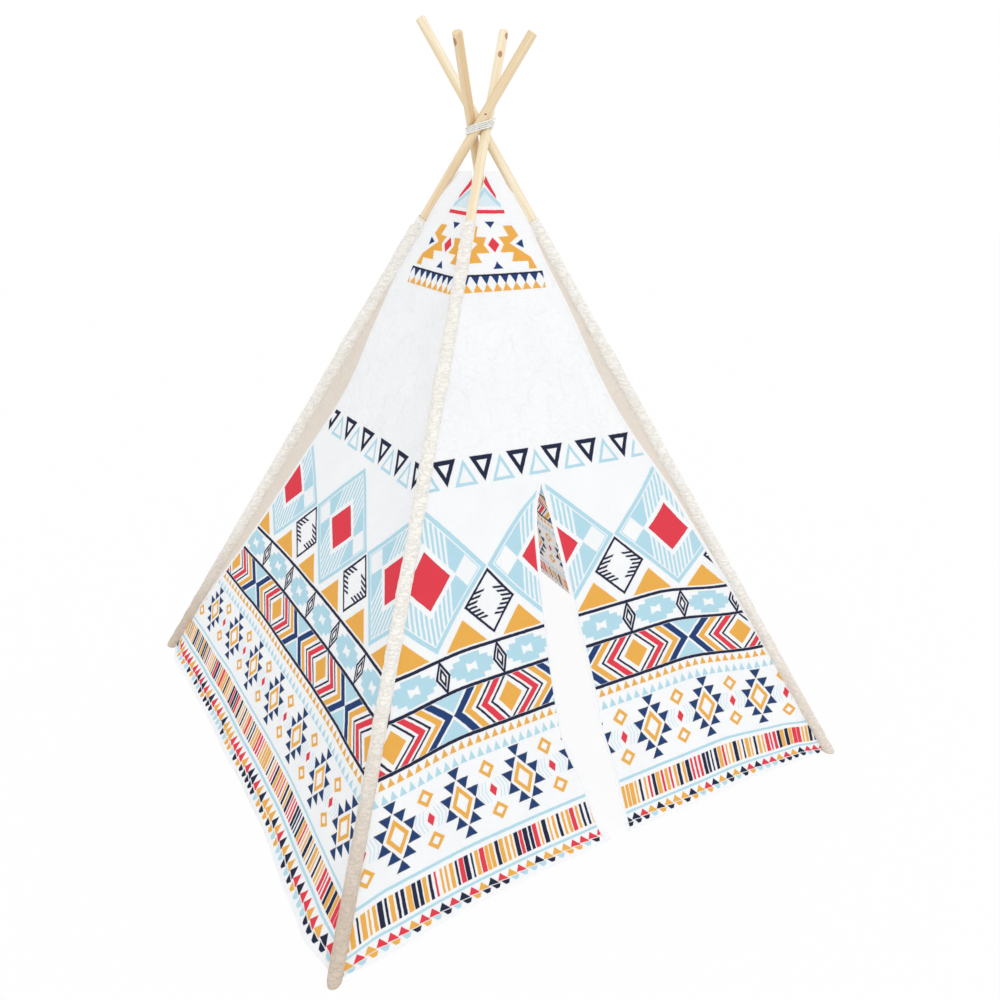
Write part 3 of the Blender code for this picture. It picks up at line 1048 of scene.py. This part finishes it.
@dataclass
class Wall:
    """One cloth wall between two poles."""

    tent: TentFrame
    kind: WallKind
    columns: int = 88
    rows: int = 100
    tip_share: float = 0.941
    hem_share: float = 0.0022
    bow: float = 0.0256
    billow: float = 0.0050
    pucker: float = 0.0016
    flare: float = 0.010
    flare_height: float = 0.11
    tuck_height: float = 0.42
    spread_height: float = 0.055
    tuck: float = 0.050  # how far the right wall's hem is drawn in
    seam_turn: float = radians(35)  # how far round a sleeve's inner side the seam lies
    spread: float = 0.020  # how far the left wall's hem lies out on the floor
    margins: Curve = (
        (0.0, 0.0), (0.10, 0.015), (0.20, 0.035), (0.28, 0.054), (0.38, 0.066), (0.60, 0.085),
        (0.70, 0.050), (0.80, 0.015),
    )  # unprinted strip beside the left sleeve, by height
    taper_share: float = 0.905
    taper: float = 0.22
    least_height: float = 0.0018  # of the cloth's middle over the floor

    @property
    def name(self) -> str:
        """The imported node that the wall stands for."""
        return self.kind.value[0]

    @property
    def body(self) -> str:
        """The body that carries it."""
        return self.kind.value[3]

    @property
    def gathers(self) -> bool:
        """True for the side walls, which gather when the frames fold together."""
        return self.body == "side_walls"

    @property
    def seed(self) -> float:
        """Makes each wall's folds its own."""
        return 11.0 * list(WallKind).index(self.kind)

    def level(self, row: float) -> float:
        """Height of a row, as a share of the crossing's."""
        return self.hem_share + (self.tip_share - self.hem_share) * row / self.rows

    def edges(self, share: float) -> tuple[Vector, Vector]:
        """The wall's two edges at a height, where it is sewn to the sleeves."""
        _, left, right, _ = self.kind.value
        tent = self.tent
        start, end = tent.on_axis(left, share), tent.on_axis(right, share)
        bare = eased((share - tent.cuff_share + 0.006) / 0.012)
        sewn = tent.sleeve_radius - 0.0006
        reach = sewn + (tent.pole_radius + 0.0012 - sewn) * bare
        inwards = tent.wall_face(left) * reach * sin(self.seam_turn)
        start += tent.axes(left)[1] * reach * cos(self.seam_turn) - inwards
        end -= tent.axes(right)[1] * reach * cos(self.seam_turn) + inwards
        above = max(0.0, share - self.taper_share) / (self.tip_share - self.taper_share)
        narrow = self.taper * above
        return start.lerp(end, narrow), end.lerp(start, narrow)

    def relief(self, x: float, share: float, across: float) -> float:
        """How far the cloth stands out from the flat at a point.

        Args:
            x: Metres across the wall from its middle.
            share: Height as a share of the crossing's.
            across: From the left edge (0) to the right one (1).

        Returns:
            Metres along the wall's outward direction.
        """
        y = share * self.tent.wall_run
        width = self.tent.base_side * (1 - share)
        edge = min(across, 1 - across) * width
        free = eased(edge / 0.10)
        seed = self.seed
        out = -self.bow * 4 * across * (1 - across) * (1 - share)
        broad = wobble(x * 3.1, y * 1.7, seed)
        middle = wobble(x * 8.5, y * 3.6, seed + 3.0)
        fine = wobble(x * 23.0, y * 15.0, seed + 5.0)
        out += free * self.billow * (broad + 0.42 * middle + 0.13 * fine)
        fade = eased(1 - edge / 0.055) * eased(edge / 0.006)
        out += self.pucker * fade * wobble(x * 6.0, y * 34.0, seed + 7.0)
        low = eased(1 - y / self.flare_height)
        wave = 0.55 + 0.45 * wobble(x * 6.5, 0.0, seed + 9.0)
        out += self.flare * low * free * wave
        if self.kind is WallKind.RIGHT:
            out -= self.tuck * eased(edge / 0.09) * eased(1 - y / self.tuck_height)
        if self.kind is WallKind.LEFT:
            out += self.spread * free * eased(1 - y / self.spread_height)
        return out

    def surface(self, across: float, share: float) -> Vector:
        """A point of the cloth's middle surface."""
        start, end = self.edges(share)
        face = self.tent.wall_face(self.kind.value[1])
        point = start.lerp(end, across)
        x = self.position(point)
        point += face * self.relief(x, share, across)
        point.z = max(point.z, self.least_height)
        return point

    def position(self, point: Vector) -> float:
        """Metres across the wall from its middle."""
        azimuth = self.kind.value[1].azimuth + pi / 4
        return point.dot(Vector((-sin(azimuth), cos(azimuth), 0)))

    def across_at(self, x: float, share: float) -> float:
        """Where a position lies between the two edges."""
        start, end = (self.position(edge) for edge in self.edges(share))
        return (x - start) / (end - start)

    def normal(self, across: float, share: float) -> Vector:
        """The cloth's outward direction at a point."""
        small = 0.0015
        wide = self.surface(across + small, share) - self.surface(across - small, share)
        tall = self.surface(across, share + small) - self.surface(across, share - small)
        return wide.cross(tall).normalized()

    def print_middle(self, share: float) -> tuple[float, float]:
        """Where the print's mid-line lies, and its scale."""
        if self.kind is WallKind.FRONT:
            high = eased((share - 0.62) / 0.16)
            return -0.010 - 0.007 * eased((share - 0.55) / 0.35) + 0.004 * high, 0.98 + 0.11 * high
        if self.kind is WallKind.LEFT:
            return 0.005 + 0.053 * share - 0.013 * eased((share - 0.60) / 0.25), 1.0
        return 0.004, 0.99

    def height_up(self, y: float) -> float:
        """Metres up the cloth for the print, stretched where the hem flares."""
        return y - 0.0105 * max(0.0, 1 - y / 0.045)

    def flat(self, across: float, share: float) -> Vector:
        """The cloth's own coordinates at a point: across, up, and distance from a bound edge."""
        x = self.position(self.surface(across, share))
        middle, scale = self.print_middle(share)
        y = share * self.tent.wall_run
        border = FAR
        if self.kind is WallKind.LEFT:
            middle += 0.002 + 0.007 * (1 - across)
            lift = 0.001 + 0.009 * (1 - across) + 0.009 * eased(1 - y / 0.30)
            width = self.tent.base_side * (1 - share)
            border = across * width + 0.0085 - along(self.margins, share)
            y -= lift * eased(y / 0.08)
        return Vector(((x - middle) / scale, self.height_up(y), border))

    def at(self, across: float, share: float, *side: int) -> tuple[Vector, Vector, Vector]:
        """A point with its normal and flat coordinates."""
        return (
            self.surface(across, share),
            self.normal(across, share),
            self.flat(across, share, *side),
        )

    def cell(self, column: int, row: int) -> tuple[Vector, Vector, Vector]:
        """A point of the grid."""
        return self.at(column / self.columns, self.level(row))

    def grid(self) -> ClothGrid:
        """The wall's sheet, still to be made."""
        return ClothGrid(self.name + "_cloth", self.columns, self.rows, self.cell)

    @property
    def area(self) -> float:
        """The cloth's area."""
        return self.tent.base_side * self.tent.wall_run / 2

    def build(self, face: Material, reverse: Material) -> Object:
        """Makes the wall and puts it on its body; a side wall gets a mesh of its own."""
        piece = self.grid().build(face, reverse)
        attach(piece, self.body)
        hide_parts(self.name)
        self.area
        if self.gathers:
            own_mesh(piece)
        return piece


@dataclass
class FrontWall(Wall):
    """The front wall: its slit door's two flaps are pieces of their own."""

    side_columns: int = 36
    head_columns: int = 6
    rows_below: int = 60
    rows_above: int = 42
    flap_columns: int = 30
    drawn_back: float = 0.010  # from the slit's left edge to the print's mid-line
    slit_top: float = 0.505  # highest share at which the slit's edges are read
    slit_left: Curve = (
        (0.0022, -0.010), (0.0355, -0.029), (0.10, -0.044), (0.156, -0.066), (0.21, -0.068),
        (0.313, -0.060), (0.42, -0.0475), (0.480, -0.034), (0.507, -0.0168), (0.520, -0.0162),
    )
    slit_right: Curve = (
        (0.0022, 0.028), (0.074, 0.027), (0.12, 0.020), (0.17, 0.011), (0.207, 0.014),
        (0.3125, 0.007), (0.436, -0.004), (0.507, -0.0150), (0.520, -0.0157),
    )
    lifts: Curve = (
        (0.0, 0.013), (0.10, 0.0115), (0.20, 0.0195), (0.30, 0.0165), (0.37, 0.0105),
        (0.42, 0.008), (0.55, 0.006), (0.85, 0.0065),
    )
    shifts: Curve = (
        (0.0, -0.002), (0.13, -0.010), (0.20, -0.003), (0.25, -0.011), (0.31, 0.004),
        (0.37, 0.009), (0.42, 0.0045), (0.85, 0.0060),
    )
    margins: Curve = (
        (0.0, 0.0), (0.05, 0.002), (0.30, 0.0136), (0.40, 0.0225), (0.47, 0.027), (0.55, 0.045),
        (0.62, 0.050), (0.75, 0.030), (0.84, 0.020), (0.87, 0.0),
    )

    def level(self, row: float) -> float:
        """Rows stop at the slit's top."""
        top = self.tent.slit_share
        if row <= self.rows_below:
            return self.hem_share + (top - self.hem_share) * row / self.rows_below
        return top + (self.tip_share - top) * (row - self.rows_below) / self.rows_above

    def fold_line(self, share: float, side: int) -> float:
        """Where a flap folds back: straight from beside the slit's top to the hem."""
        tent = self.tent
        down = (tent.slit_share - share) / (tent.slit_share - tent.hem_share)
        top = -tent.slit_shift + side * tent.flap_top_width
        return top + (side * tent.flap_hem_width - top) * down

    def slit(self, side: int) -> Curve:
        """The slit's left (-1) or right (1) edge: metres across, by height."""
        return self.slit_left if side < 0 else self.slit_right

    def print_middle_left(self, share: float) -> float:
        """The print's mid-line on the left half, which is drawn back from the slit."""
        return along(self.slit_left, share) + self.drawn_back

    def lift(self, x: float, share: float, side: int) -> float:
        """How far up the cloth is drawn at a point; it sags again beside the right sleeve.

        Args:
            x: Metres across the wall from its middle.
            share: Height as a share of the crossing's.
            side: -1 left of the slit, 1 right of it.

        Returns:
            Metres up the cloth.
        """
        half = self.tent.base_side / 2 * (1 - share)
        slit = along(self.slit(side), min(share, self.slit_top))
        free = eased((share - 0.40) / 0.08)
        lean = free * eased((0.75 - share) / 0.10) * (0.05 + 0.75 * max(-1.0, min(1.0, x / 0.2)))
        rise = along(self.lifts, share) * (1 - lean)
        if side < 0:
            edge = eased((x + half) / (half + slit) / 0.5)
            return rise * (edge + (1 - edge) * free)
        sag = 0.3 + 0.7 * eased(share / 0.1)
        beside = eased(((x - slit) / (half - slit) - 0.50) / 0.5)
        return rise - 0.036 * beside * sag * (1 - free) * 0.8

    def raised(self, x: float, share: float, side: int) -> float:
        """Height of a row below the slit's top, the lowest one following the lifted hem."""
        top = self.tent.slit_share
        down = max(0.0, top - share) / (top - self.hem_share)
        return share + max(0.0, self.lift(x, self.hem_share, side)) / self.tent.wall_run * down

    def flat(self, across: float, share: float, side: int = 0) -> Vector:
        """The cloth's own coordinates, each half of the wall drawn to its own side."""
        x = self.position(self.surface(across, share))
        middle, scale = self.print_middle(share)
        whole = (x - middle) / scale
        half = self.tent.base_side / 2 * (1 - share)
        below = eased((0.560 - share) / 0.085)
        if side == 0:
            side = -1 if x < -self.tent.slit_shift else 1
        if side < 0:
            start = self.print_middle_left(min(share, self.slit_top))
            part = (x - start) / (half + start) * (half - 0.007)
        else:
            part = x
        border = FAR
        if share < 0.512:
            border = abs(x - along(self.slit(side), share))
        edge = min(across, 1 - across) * 2 * half
        drop = 0.014 * eased(1 - edge / 0.07) * eased(1 - share / 0.16)
        right = (1 - across) * 2 * half - along(self.margins, share) + 0.0085
        shift = 0.0065 + 0.0013 * eased((share - 0.42) / 0.43)
        if side < 0:
            shift = along(self.shifts, share)
        y = share * self.tent.wall_run - self.lift(x, share, side)
        return Vector((
            whole + (part - whole) * below + shift,
            self.height_up(y) + drop,
            min(border, right),
        ))

    def cell(self, column: int, row: int) -> tuple[Vector, Vector, Vector]:
        """A point of the wall's grid, whose columns stop at the two fold lines."""
        share = self.level(row)
        line = min(share, self.tent.slit_share)
        left, right = (self.across_at(self.fold_line(line, side), line) for side in (-1, 1))
        side = 0
        last = self.side_columns + self.head_columns
        if column <= self.side_columns:
            across, side = left * column / self.side_columns, -1
        elif column < last:
            across = left + (right - left) * (column - self.side_columns) / self.head_columns
        else:
            across = right + (1 - right) * (column - last) / self.side_columns
            side = 1
        if share > self.tent.slit_share:
            side = 0
        elif side:
            start, end = (self.position(point) for point in self.edges(share))
            share = self.raised(start + (end - start) * across, share, side)
        return self.at(across, share, side)

    def doorway(self, column: int, row: int) -> bool:
        """True where the flaps, not the wall, fill the grid."""
        last = self.side_columns + self.head_columns
        return row < self.rows_below and self.side_columns <= column < last

    def grid(self) -> ClothGrid:
        """The wall's sheet without its flaps."""
        columns = 2 * self.side_columns + self.head_columns
        rows = self.rows_below + self.rows_above
        return ClothGrid(self.name + "_cloth", columns, rows, self.cell, left_out=self.doorway)

    @property
    def area(self) -> float:
        """The cloth's area, its door's taken off."""
        return super().area - self.tent.flap_hem_width * self.tent.slit_length

    def build_flap(self, side: int, face: Material, reverse: Material) -> Object:
        """Makes one flap of the door.

        Args:
            side: -1 for the left flap, 1 for the right one.
            face: Finish of the printed side.
            reverse: Finish of the inner side.

        Returns:
            The flap, on its own body.
        """
        word = "left" if side < 0 else "right"

        def cell(column: int, row: int) -> tuple[Vector, Vector, Vector]:
            """A point between the fold line and the slit's edge."""
            share = self.level(row)
            part = column / self.flap_columns
            ends = sorted((self.fold_line(share, side), along(self.slit(side), share)))
            x = ends[0] + (ends[1] - ends[0]) * part
            return self.at(self.across_at(x, share), self.raised(x, share, side), side)

        grid = ClothGrid(f"door_flap_{word}_cloth", self.flap_columns, self.rows_below, cell)
        piece = grid.build(face, reverse)
        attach(piece, "flap_" + word)
        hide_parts("door_flap_" + word)
        return piece


# ---------------------------------------------------------------- sleeves, poles and cord


@dataclass
class Sleeve:
    """A long cotton pocket round a pole: gathered, cuffed at the top and closed at the foot."""

    tent: TentFrame
    corner: Corner
    rings: int = 330
    sides: int = 26
    inner_rings: int = 24
    wall: float = 0.0008
    wrinkle: float = 0.0015
    bulge: float = 0.0022
    loose: float = 0.0006
    fullest: float = 0.0036  # how far its wrinkles may stand out
    toe: float = 0.010  # height of its rounded foot

    def radius(self, drop: float, angle: float) -> float:
        """The outer radius at a point.

        Args:
            drop: Metres down the pole from the sleeve's top.
            angle: Round the pole.

        Returns:
            Radius from the pole's axis.
        """
        tent = self.tent
        seed = 20.0 + 7.0 * list(Corner).index(self.corner)
        across, beside = cos(angle) * 0.9, sin(angle) * 0.9
        if drop < tent.cuff_height:
            soft = 0.00025 * wobble(across, beside, drop * 90 + seed)
            groove = 0.0005 * eased(1 - abs(drop - 0.017) / 0.0012)
            return tent.sleeve_radius + tent.cuff_extra + soft - groove
        wave = wobble(across, beside, drop * 42 + seed)
        fine = wobble(across * 1.8, beside * 1.8, drop * 120 + seed + 4)
        long = wobble(across * 1.4, beside * 1.4, drop * 9 + seed + 8)
        radius = tent.sleeve_radius + self.loose
        radius += self.wrinkle * (0.8 * wave + 0.5 * fine + 0.7 * long)
        joint = tent.pole_run - tent.upper_joint_run - tent.sleeve_top_drop
        radius += self.bulge * eased(1 - abs(drop - joint) / 0.035)
        return min(
            max(radius, tent.sleeve_bore + self.wall),
            tent.sleeve_radius + self.fullest + self.loose,
        )

    def build(self, finish: Material) -> Object:
        """Makes the sleeve and puts it on the poles' body."""
        tent, corner = self.tent, self.corner
        outward, sideways, _ = tent.axes(corner)
        way = tent.pole_way(corner)
        front = sideways.cross(way).normalized()
        top = tent.on_axis(corner, tent.cuff_share)
        points: list[Vector] = []
        faces: list[tuple[int, ...]] = []

        def ring(part: float, inner: bool) -> None:
            """One loop of points, part of the way from the top to the floor."""
            for count in range(self.sides):
                angle = 2 * pi * count / self.sides
                aside = front * cos(angle) + sideways * sin(angle)
                floor = 0.0016 if inner else 0.0004  # height of its lowest points
                radius = tent.sleeve_bore if inner else tent.sleeve_radius
                length = ((top + aside * radius).z - floor) / way.z
                drop = length * part
                if not inner:
                    radius = self.radius(drop, angle)
                    left = length - drop
                    if left < self.toe:
                        radius -= 0.0022 * (1 - sqrt(max(0.0, 1 - (1 - left / self.toe) ** 2)))
                    if drop < 0.0012:
                        radius -= 0.0003
                points.append(top + aside * radius - way * drop)

        for count in range(self.rings + 1):
            ring(count / self.rings, False)
        for count in range(self.inner_rings, -1, -1):
            ring(count / self.inner_rings, True)
        loops = self.rings + self.inner_rings + 2
        for loop in range(loops):
            if loop != self.rings:
                faces += band(loop * self.sides, (loop + 1) % loops * self.sides, self.sides)
        end = self.rings * self.sides
        faces.append(tuple(range(end, end + self.sides)))
        faces.append(tuple(reversed(range(end + self.sides, end + 2 * self.sides))))
        piece = add_mesh(f"sleeve_{corner.label}_cotton", points, faces, (finish,), sharp=55)
        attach(piece, corner.body)
        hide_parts("sleeve_" + corner.label)
        return piece


@dataclass
class PoleSet:
    """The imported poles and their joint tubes, which only get their finishes."""

    tent: TentFrame

    def dress(self) -> int:
        """Gives each pole pine whose grain runs along it, and each tube zinc."""
        zinc = ZincFinish().material()
        dressed = 0
        knots = {
            Corner.FRONT_LEFT: ((0.158, 5.1), (0.203, 5.9)),
            Corner.FRONT_RIGHT: ((0.140, 0.6), (-0.09, 5.2)),
            Corner.BACK_RIGHT: ((0.060, 4.4), (0.17, 1.0)),
            Corner.BACK_LEFT: ((0.120, 3.1), (-0.16, 1.4)),
        }
        warm = srgb(246, 230, 198), srgb(224, 192, 146)
        for corner in Corner:
            pine = PineFinish(
                "pine_" + corner.label,
                self.tent.pole_way(corner),
                self.tent.on_axis(corner, 1),
                knots[corner],
                *(warm if corner in (Corner.BACK_LEFT, Corner.BACK_RIGHT) else ()),
            ).material()
            for name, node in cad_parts.items():
                if corner.label not in name:
                    continue
                finish = {"pole": pine, "ferrule": zinc}.get(name.split("_")[0])
                if finish is None:
                    continue
                node.data.materials.clear()
                node.data.materials.append(finish)
                dressed += 1
        return dressed


@dataclass
class Lashing:
    """The cord that ties the poles where they cross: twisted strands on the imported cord's route."""

    tent: TentFrame
    radius: float = 0.0018
    clearance: float = 0.0004
    turns: int = 4
    pitch: float = 0.0036
    start: float = radians(-62)
    tilt_share: float = 0.27
    tilt_azimuth: float = radians(-31)
    tail: float = 0.020
    per_turn: int = 24
    strands: int = 3
    twist: float = 0.011
    finer: int = 5
    sides: int = 7

    def reach(self, azimuth: float, height: float) -> float:
        """How far the bundle of poles reaches in a direction, at a height above the crossing."""
        tent = self.tent
        towards = Vector((cos(azimuth), sin(azimuth), 0))
        far = 0.0
        for corner in Corner:
            outward, sideways, _ = tent.axes(corner)
            centre = sideways * tent.crossing_offset - outward * height * tan(tent.lean)
            width = hypot(
                tent.pole_radius / cos(tent.lean) * outward.dot(towards),
                tent.pole_radius * sideways.dot(towards),
            )
            far = max(far, centre.dot(towards) + width)
        return far

    def wound(self, azimuth: float, climb: float) -> Vector:
        """A point of the cord on the bundle, its turns lying on a tilted plane."""
        towards = Vector((cos(azimuth), sin(azimuth), 0))
        beside = Vector((-sin(azimuth), cos(azimuth), 0))
        tilt_way = Vector((cos(self.tilt_azimuth), sin(self.tilt_azimuth), 0))
        small = pi / self.per_turn / 10
        height = climb
        for _ in range(5):
            ahead, behind = self.reach(azimuth + small, height), self.reach(azimuth - small, height)
            bend = (ahead - behind) / (2 * small)
            out = self.reach(azimuth, height) + (self.radius + self.clearance) / cos(self.tent.lean)
            place = towards * out + beside * bend
            height = climb + self.tilt_share * place.dot(tilt_way)
        return place + Vector((0, 0, self.tent.crossing_height + height))

    def path(self) -> list[Vector]:
        """The cord's whole length in even steps, with its two ends running on straight."""
        fine = 15 * self.per_turn
        line = [
            self.wound(
                self.start + 2 * pi * count / fine, (count / fine - self.turns / 2) * self.pitch
            )
            for count in range(self.turns * fine + 1)
        ]
        lengths = runs(line)
        total = self.turns * self.per_turn
        points, reached = [], 0
        for count in range(total + 1):
            goal = lengths[-1] * count / total
            while reached < len(lengths) - 2 and lengths[reached + 1] < goal:
                reached += 1
            share = (goal - lengths[reached]) / (lengths[reached + 1] - lengths[reached])
            points.append(line[reached].lerp(line[reached + 1], share))
        head = (points[0] - points[1]).normalized() * 2 * self.radius
        tail = (points[-1] - points[-2]).normalized() * self.tail
        return [points[0] + head] + points + [points[-1] + tail / 2, points[-1] + tail]

    def build(self, finish: Material) -> Object:
        """Makes the cord of twisted strands."""
        route = self.path()
        stops = runs(route)
        steps = (len(route) - 1) * self.finer
        lines = [[(stop, point[axis]) for stop, point in zip(stops, route)] for axis in range(3)]
        centres = [
            Vector([along(line, stops[-1] * count / steps) for line in lines])
            for count in range(steps + 1)
        ]
        points: list[Vector] = []
        faces: list[tuple[int, ...]] = []
        half = self.radius / 2  # a strand's radius, and its distance from the cord's middle
        for strand in range(self.strands):
            base = len(points)
            side = Vector((0, 0, 1))
            for count, centre in enumerate(centres):
                ahead = centres[min(count + 1, steps)] - centres[max(count - 1, 0)]
                ahead.normalize()
                side = (side - ahead * side.dot(ahead)).normalized()
                other = ahead.cross(side)
                turn = 2 * pi * (stops[-1] * count / steps / self.twist + strand / self.strands)
                middle = centre + (side * cos(turn) + other * sin(turn)) * half
                for corner in range(self.sides):
                    angle = 2 * pi * corner / self.sides
                    out = side * cos(angle) + other * sin(angle)
                    points.append(middle + out * half)
            last = base + steps * self.sides
            for first in range(base, last, self.sides):
                faces += band(first, first + self.sides, self.sides)
            faces.append(tuple(reversed(range(base, base + self.sides))))
            faces.append(tuple(range(last, last + self.sides)))
        piece = add_mesh("twisted_cord", points, faces, (finish,))
        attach(piece, "side_walls")
        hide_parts("tie_cord")
        return piece


# ---------------------------------------------------------------- studio


@dataclass
class Studio:
    """Camera, plain white floor and soft light."""

    camera_place: Triple = (-0.91770, -1.58113, 1.24073)
    heading: float = 58.896
    pitch: float = -21.433
    roll: float = 1.094
    lens: float = 30.777
    shift_x: float = 0.01204
    shift_y: float = 0.00045
    world_light: float = 0.94
    sun_light: float = 0.38
    sun_spread: float = radians(24)
    sun_way: Triple = (-0.05, -0.85, 0.75)
    floor_size: float = 40.0
    floor_glow: float = 0.94  # how much whiter than its shading the camera sees the floor

    def aim_camera(self) -> None:
        """Puts the camera where the photograph was taken from."""
        data = bpy.data.cameras.new("photo_camera")
        data.lens = self.lens
        data.sensor_width = 36.0
        data.sensor_fit = "HORIZONTAL"
        data.shift_x, data.shift_y = self.shift_x, self.shift_y
        data.clip_end = 100.0
        camera = bpy.data.objects.new("photo_camera", data)
        bpy.context.scene.collection.objects.link(camera)
        turn = (
            Matrix.Rotation(radians(self.heading - 90), 3, "Z")
            @ Matrix.Rotation(radians(90 + self.pitch), 3, "X")
            @ Matrix.Rotation(radians(self.roll), 3, "Z")
        )
        camera.matrix_world = Matrix.Translation(self.camera_place) @ turn.to_4x4()
        bpy.context.scene.camera = camera

    def unlit_for_camera(self, graph: Graph) -> Value:
        """1 for rays that see the background, from the camera or through gloss and glass."""
        rays = graph.node("LightPath")
        seen = [
            Value(graph, rays.outputs[name])
            for name in ("Is Camera Ray", "Is Glossy Ray", "Is Transmission Ray")
        ]
        return seen[0] | seen[1] | seen[2]

    def lay_floor(self) -> None:
        """A wide white floor that keeps a faint shadow of the tent."""
        half = self.floor_size / 2
        corners = [(-half, -half, 0), (half, -half, 0), (half, half, 0), (-half, half, 0)]
        graph = Graph("white_floor")
        glow = graph.node("Emission", None, {"Color": (1.0, 1.0, 1.0), "Strength": 1.0})
        graph.finish(Base_Color=(0.92, 0.92, 0.92), Roughness=0.9, Specular_IOR_Level=0.0)
        finish = graph.blend(self.unlit_for_camera(graph) * self.floor_glow, glow)
        floor = add_mesh("floor", corners, [(0, 1, 2, 3)], (finish,))
        floor.location.z = -0.0005

    def light(self) -> None:
        """White world and one broad soft lamp from the front right."""
        graph = Graph("studio", world=True)
        graph.finish(Color=(1.0, 1.0, 1.0), Strength=self.world_light)
        white = graph.node("Background", None, {"Color": (1.0, 1.0, 1.0), "Strength": 1.0})
        bpy.context.scene.world = graph.blend(self.unlit_for_camera(graph), white)
        data = bpy.data.lights.new("key", "SUN")
        data.energy = self.sun_light
        data.angle = self.sun_spread
        key = bpy.data.objects.new("key", data)
        key.rotation_euler = Vector(self.sun_way).to_track_quat("Z", "Y").to_euler()
        bpy.context.scene.collection.objects.link(key)

    def set_view(self) -> None:
        """Plain display of colours."""
        bpy.context.scene.view_settings.view_transform = "Standard"


def main() -> None:
    """Builds the tent, piece by piece."""
    logging.basicConfig(level=logging.INFO, format="%(name)s: %(message)s")
    tent = TentFrame()
    studio = Studio()
    studio.aim_camera()
    pieces = [Lashing(tent).build(CordFinish().material())]
    studio.lay_floor()
    studio.light()
    studio.set_view()
    log.info("poles and tubes dressed: %d", PoleSet(tent).dress())
    face = PrintedCotton("printed_cotton").material()
    reverse = PrintedCotton("printed_cotton_reverse", reverse=True).material()
    for kind in (WallKind.LEFT, WallKind.RIGHT, WallKind.BACK):
        pieces.append(Wall(tent, kind).build(face, reverse))
    front = FrontWall(tent, WallKind.FRONT)
    pieces.append(front.build(face, reverse))
    pieces += [front.build_flap(side, face, reverse) for side in (-1, 1)]
    # lit and shaded copies of one cotton: the left sleeves get the stronger painted shade towards the
    # foot
    shaded = SleeveCotton().material()
    bright = SleeveCotton("cream_cotton_bright", lower=srgb(236, 227, 216)).material()
    for corner in Corner:
        loose = 0.0042 if corner is Corner.BACK_LEFT else 0.0006
        cotton = shaded if corner in (Corner.FRONT_LEFT, Corner.BACK_LEFT) else bright
        pieces.append(Sleeve(tent, corner, loose=loose).build(cotton))
    for piece in pieces:
        log.info("%s: %d faces", piece.name, len(piece.data.polygons))


if __name__ == "__main__":
    main()
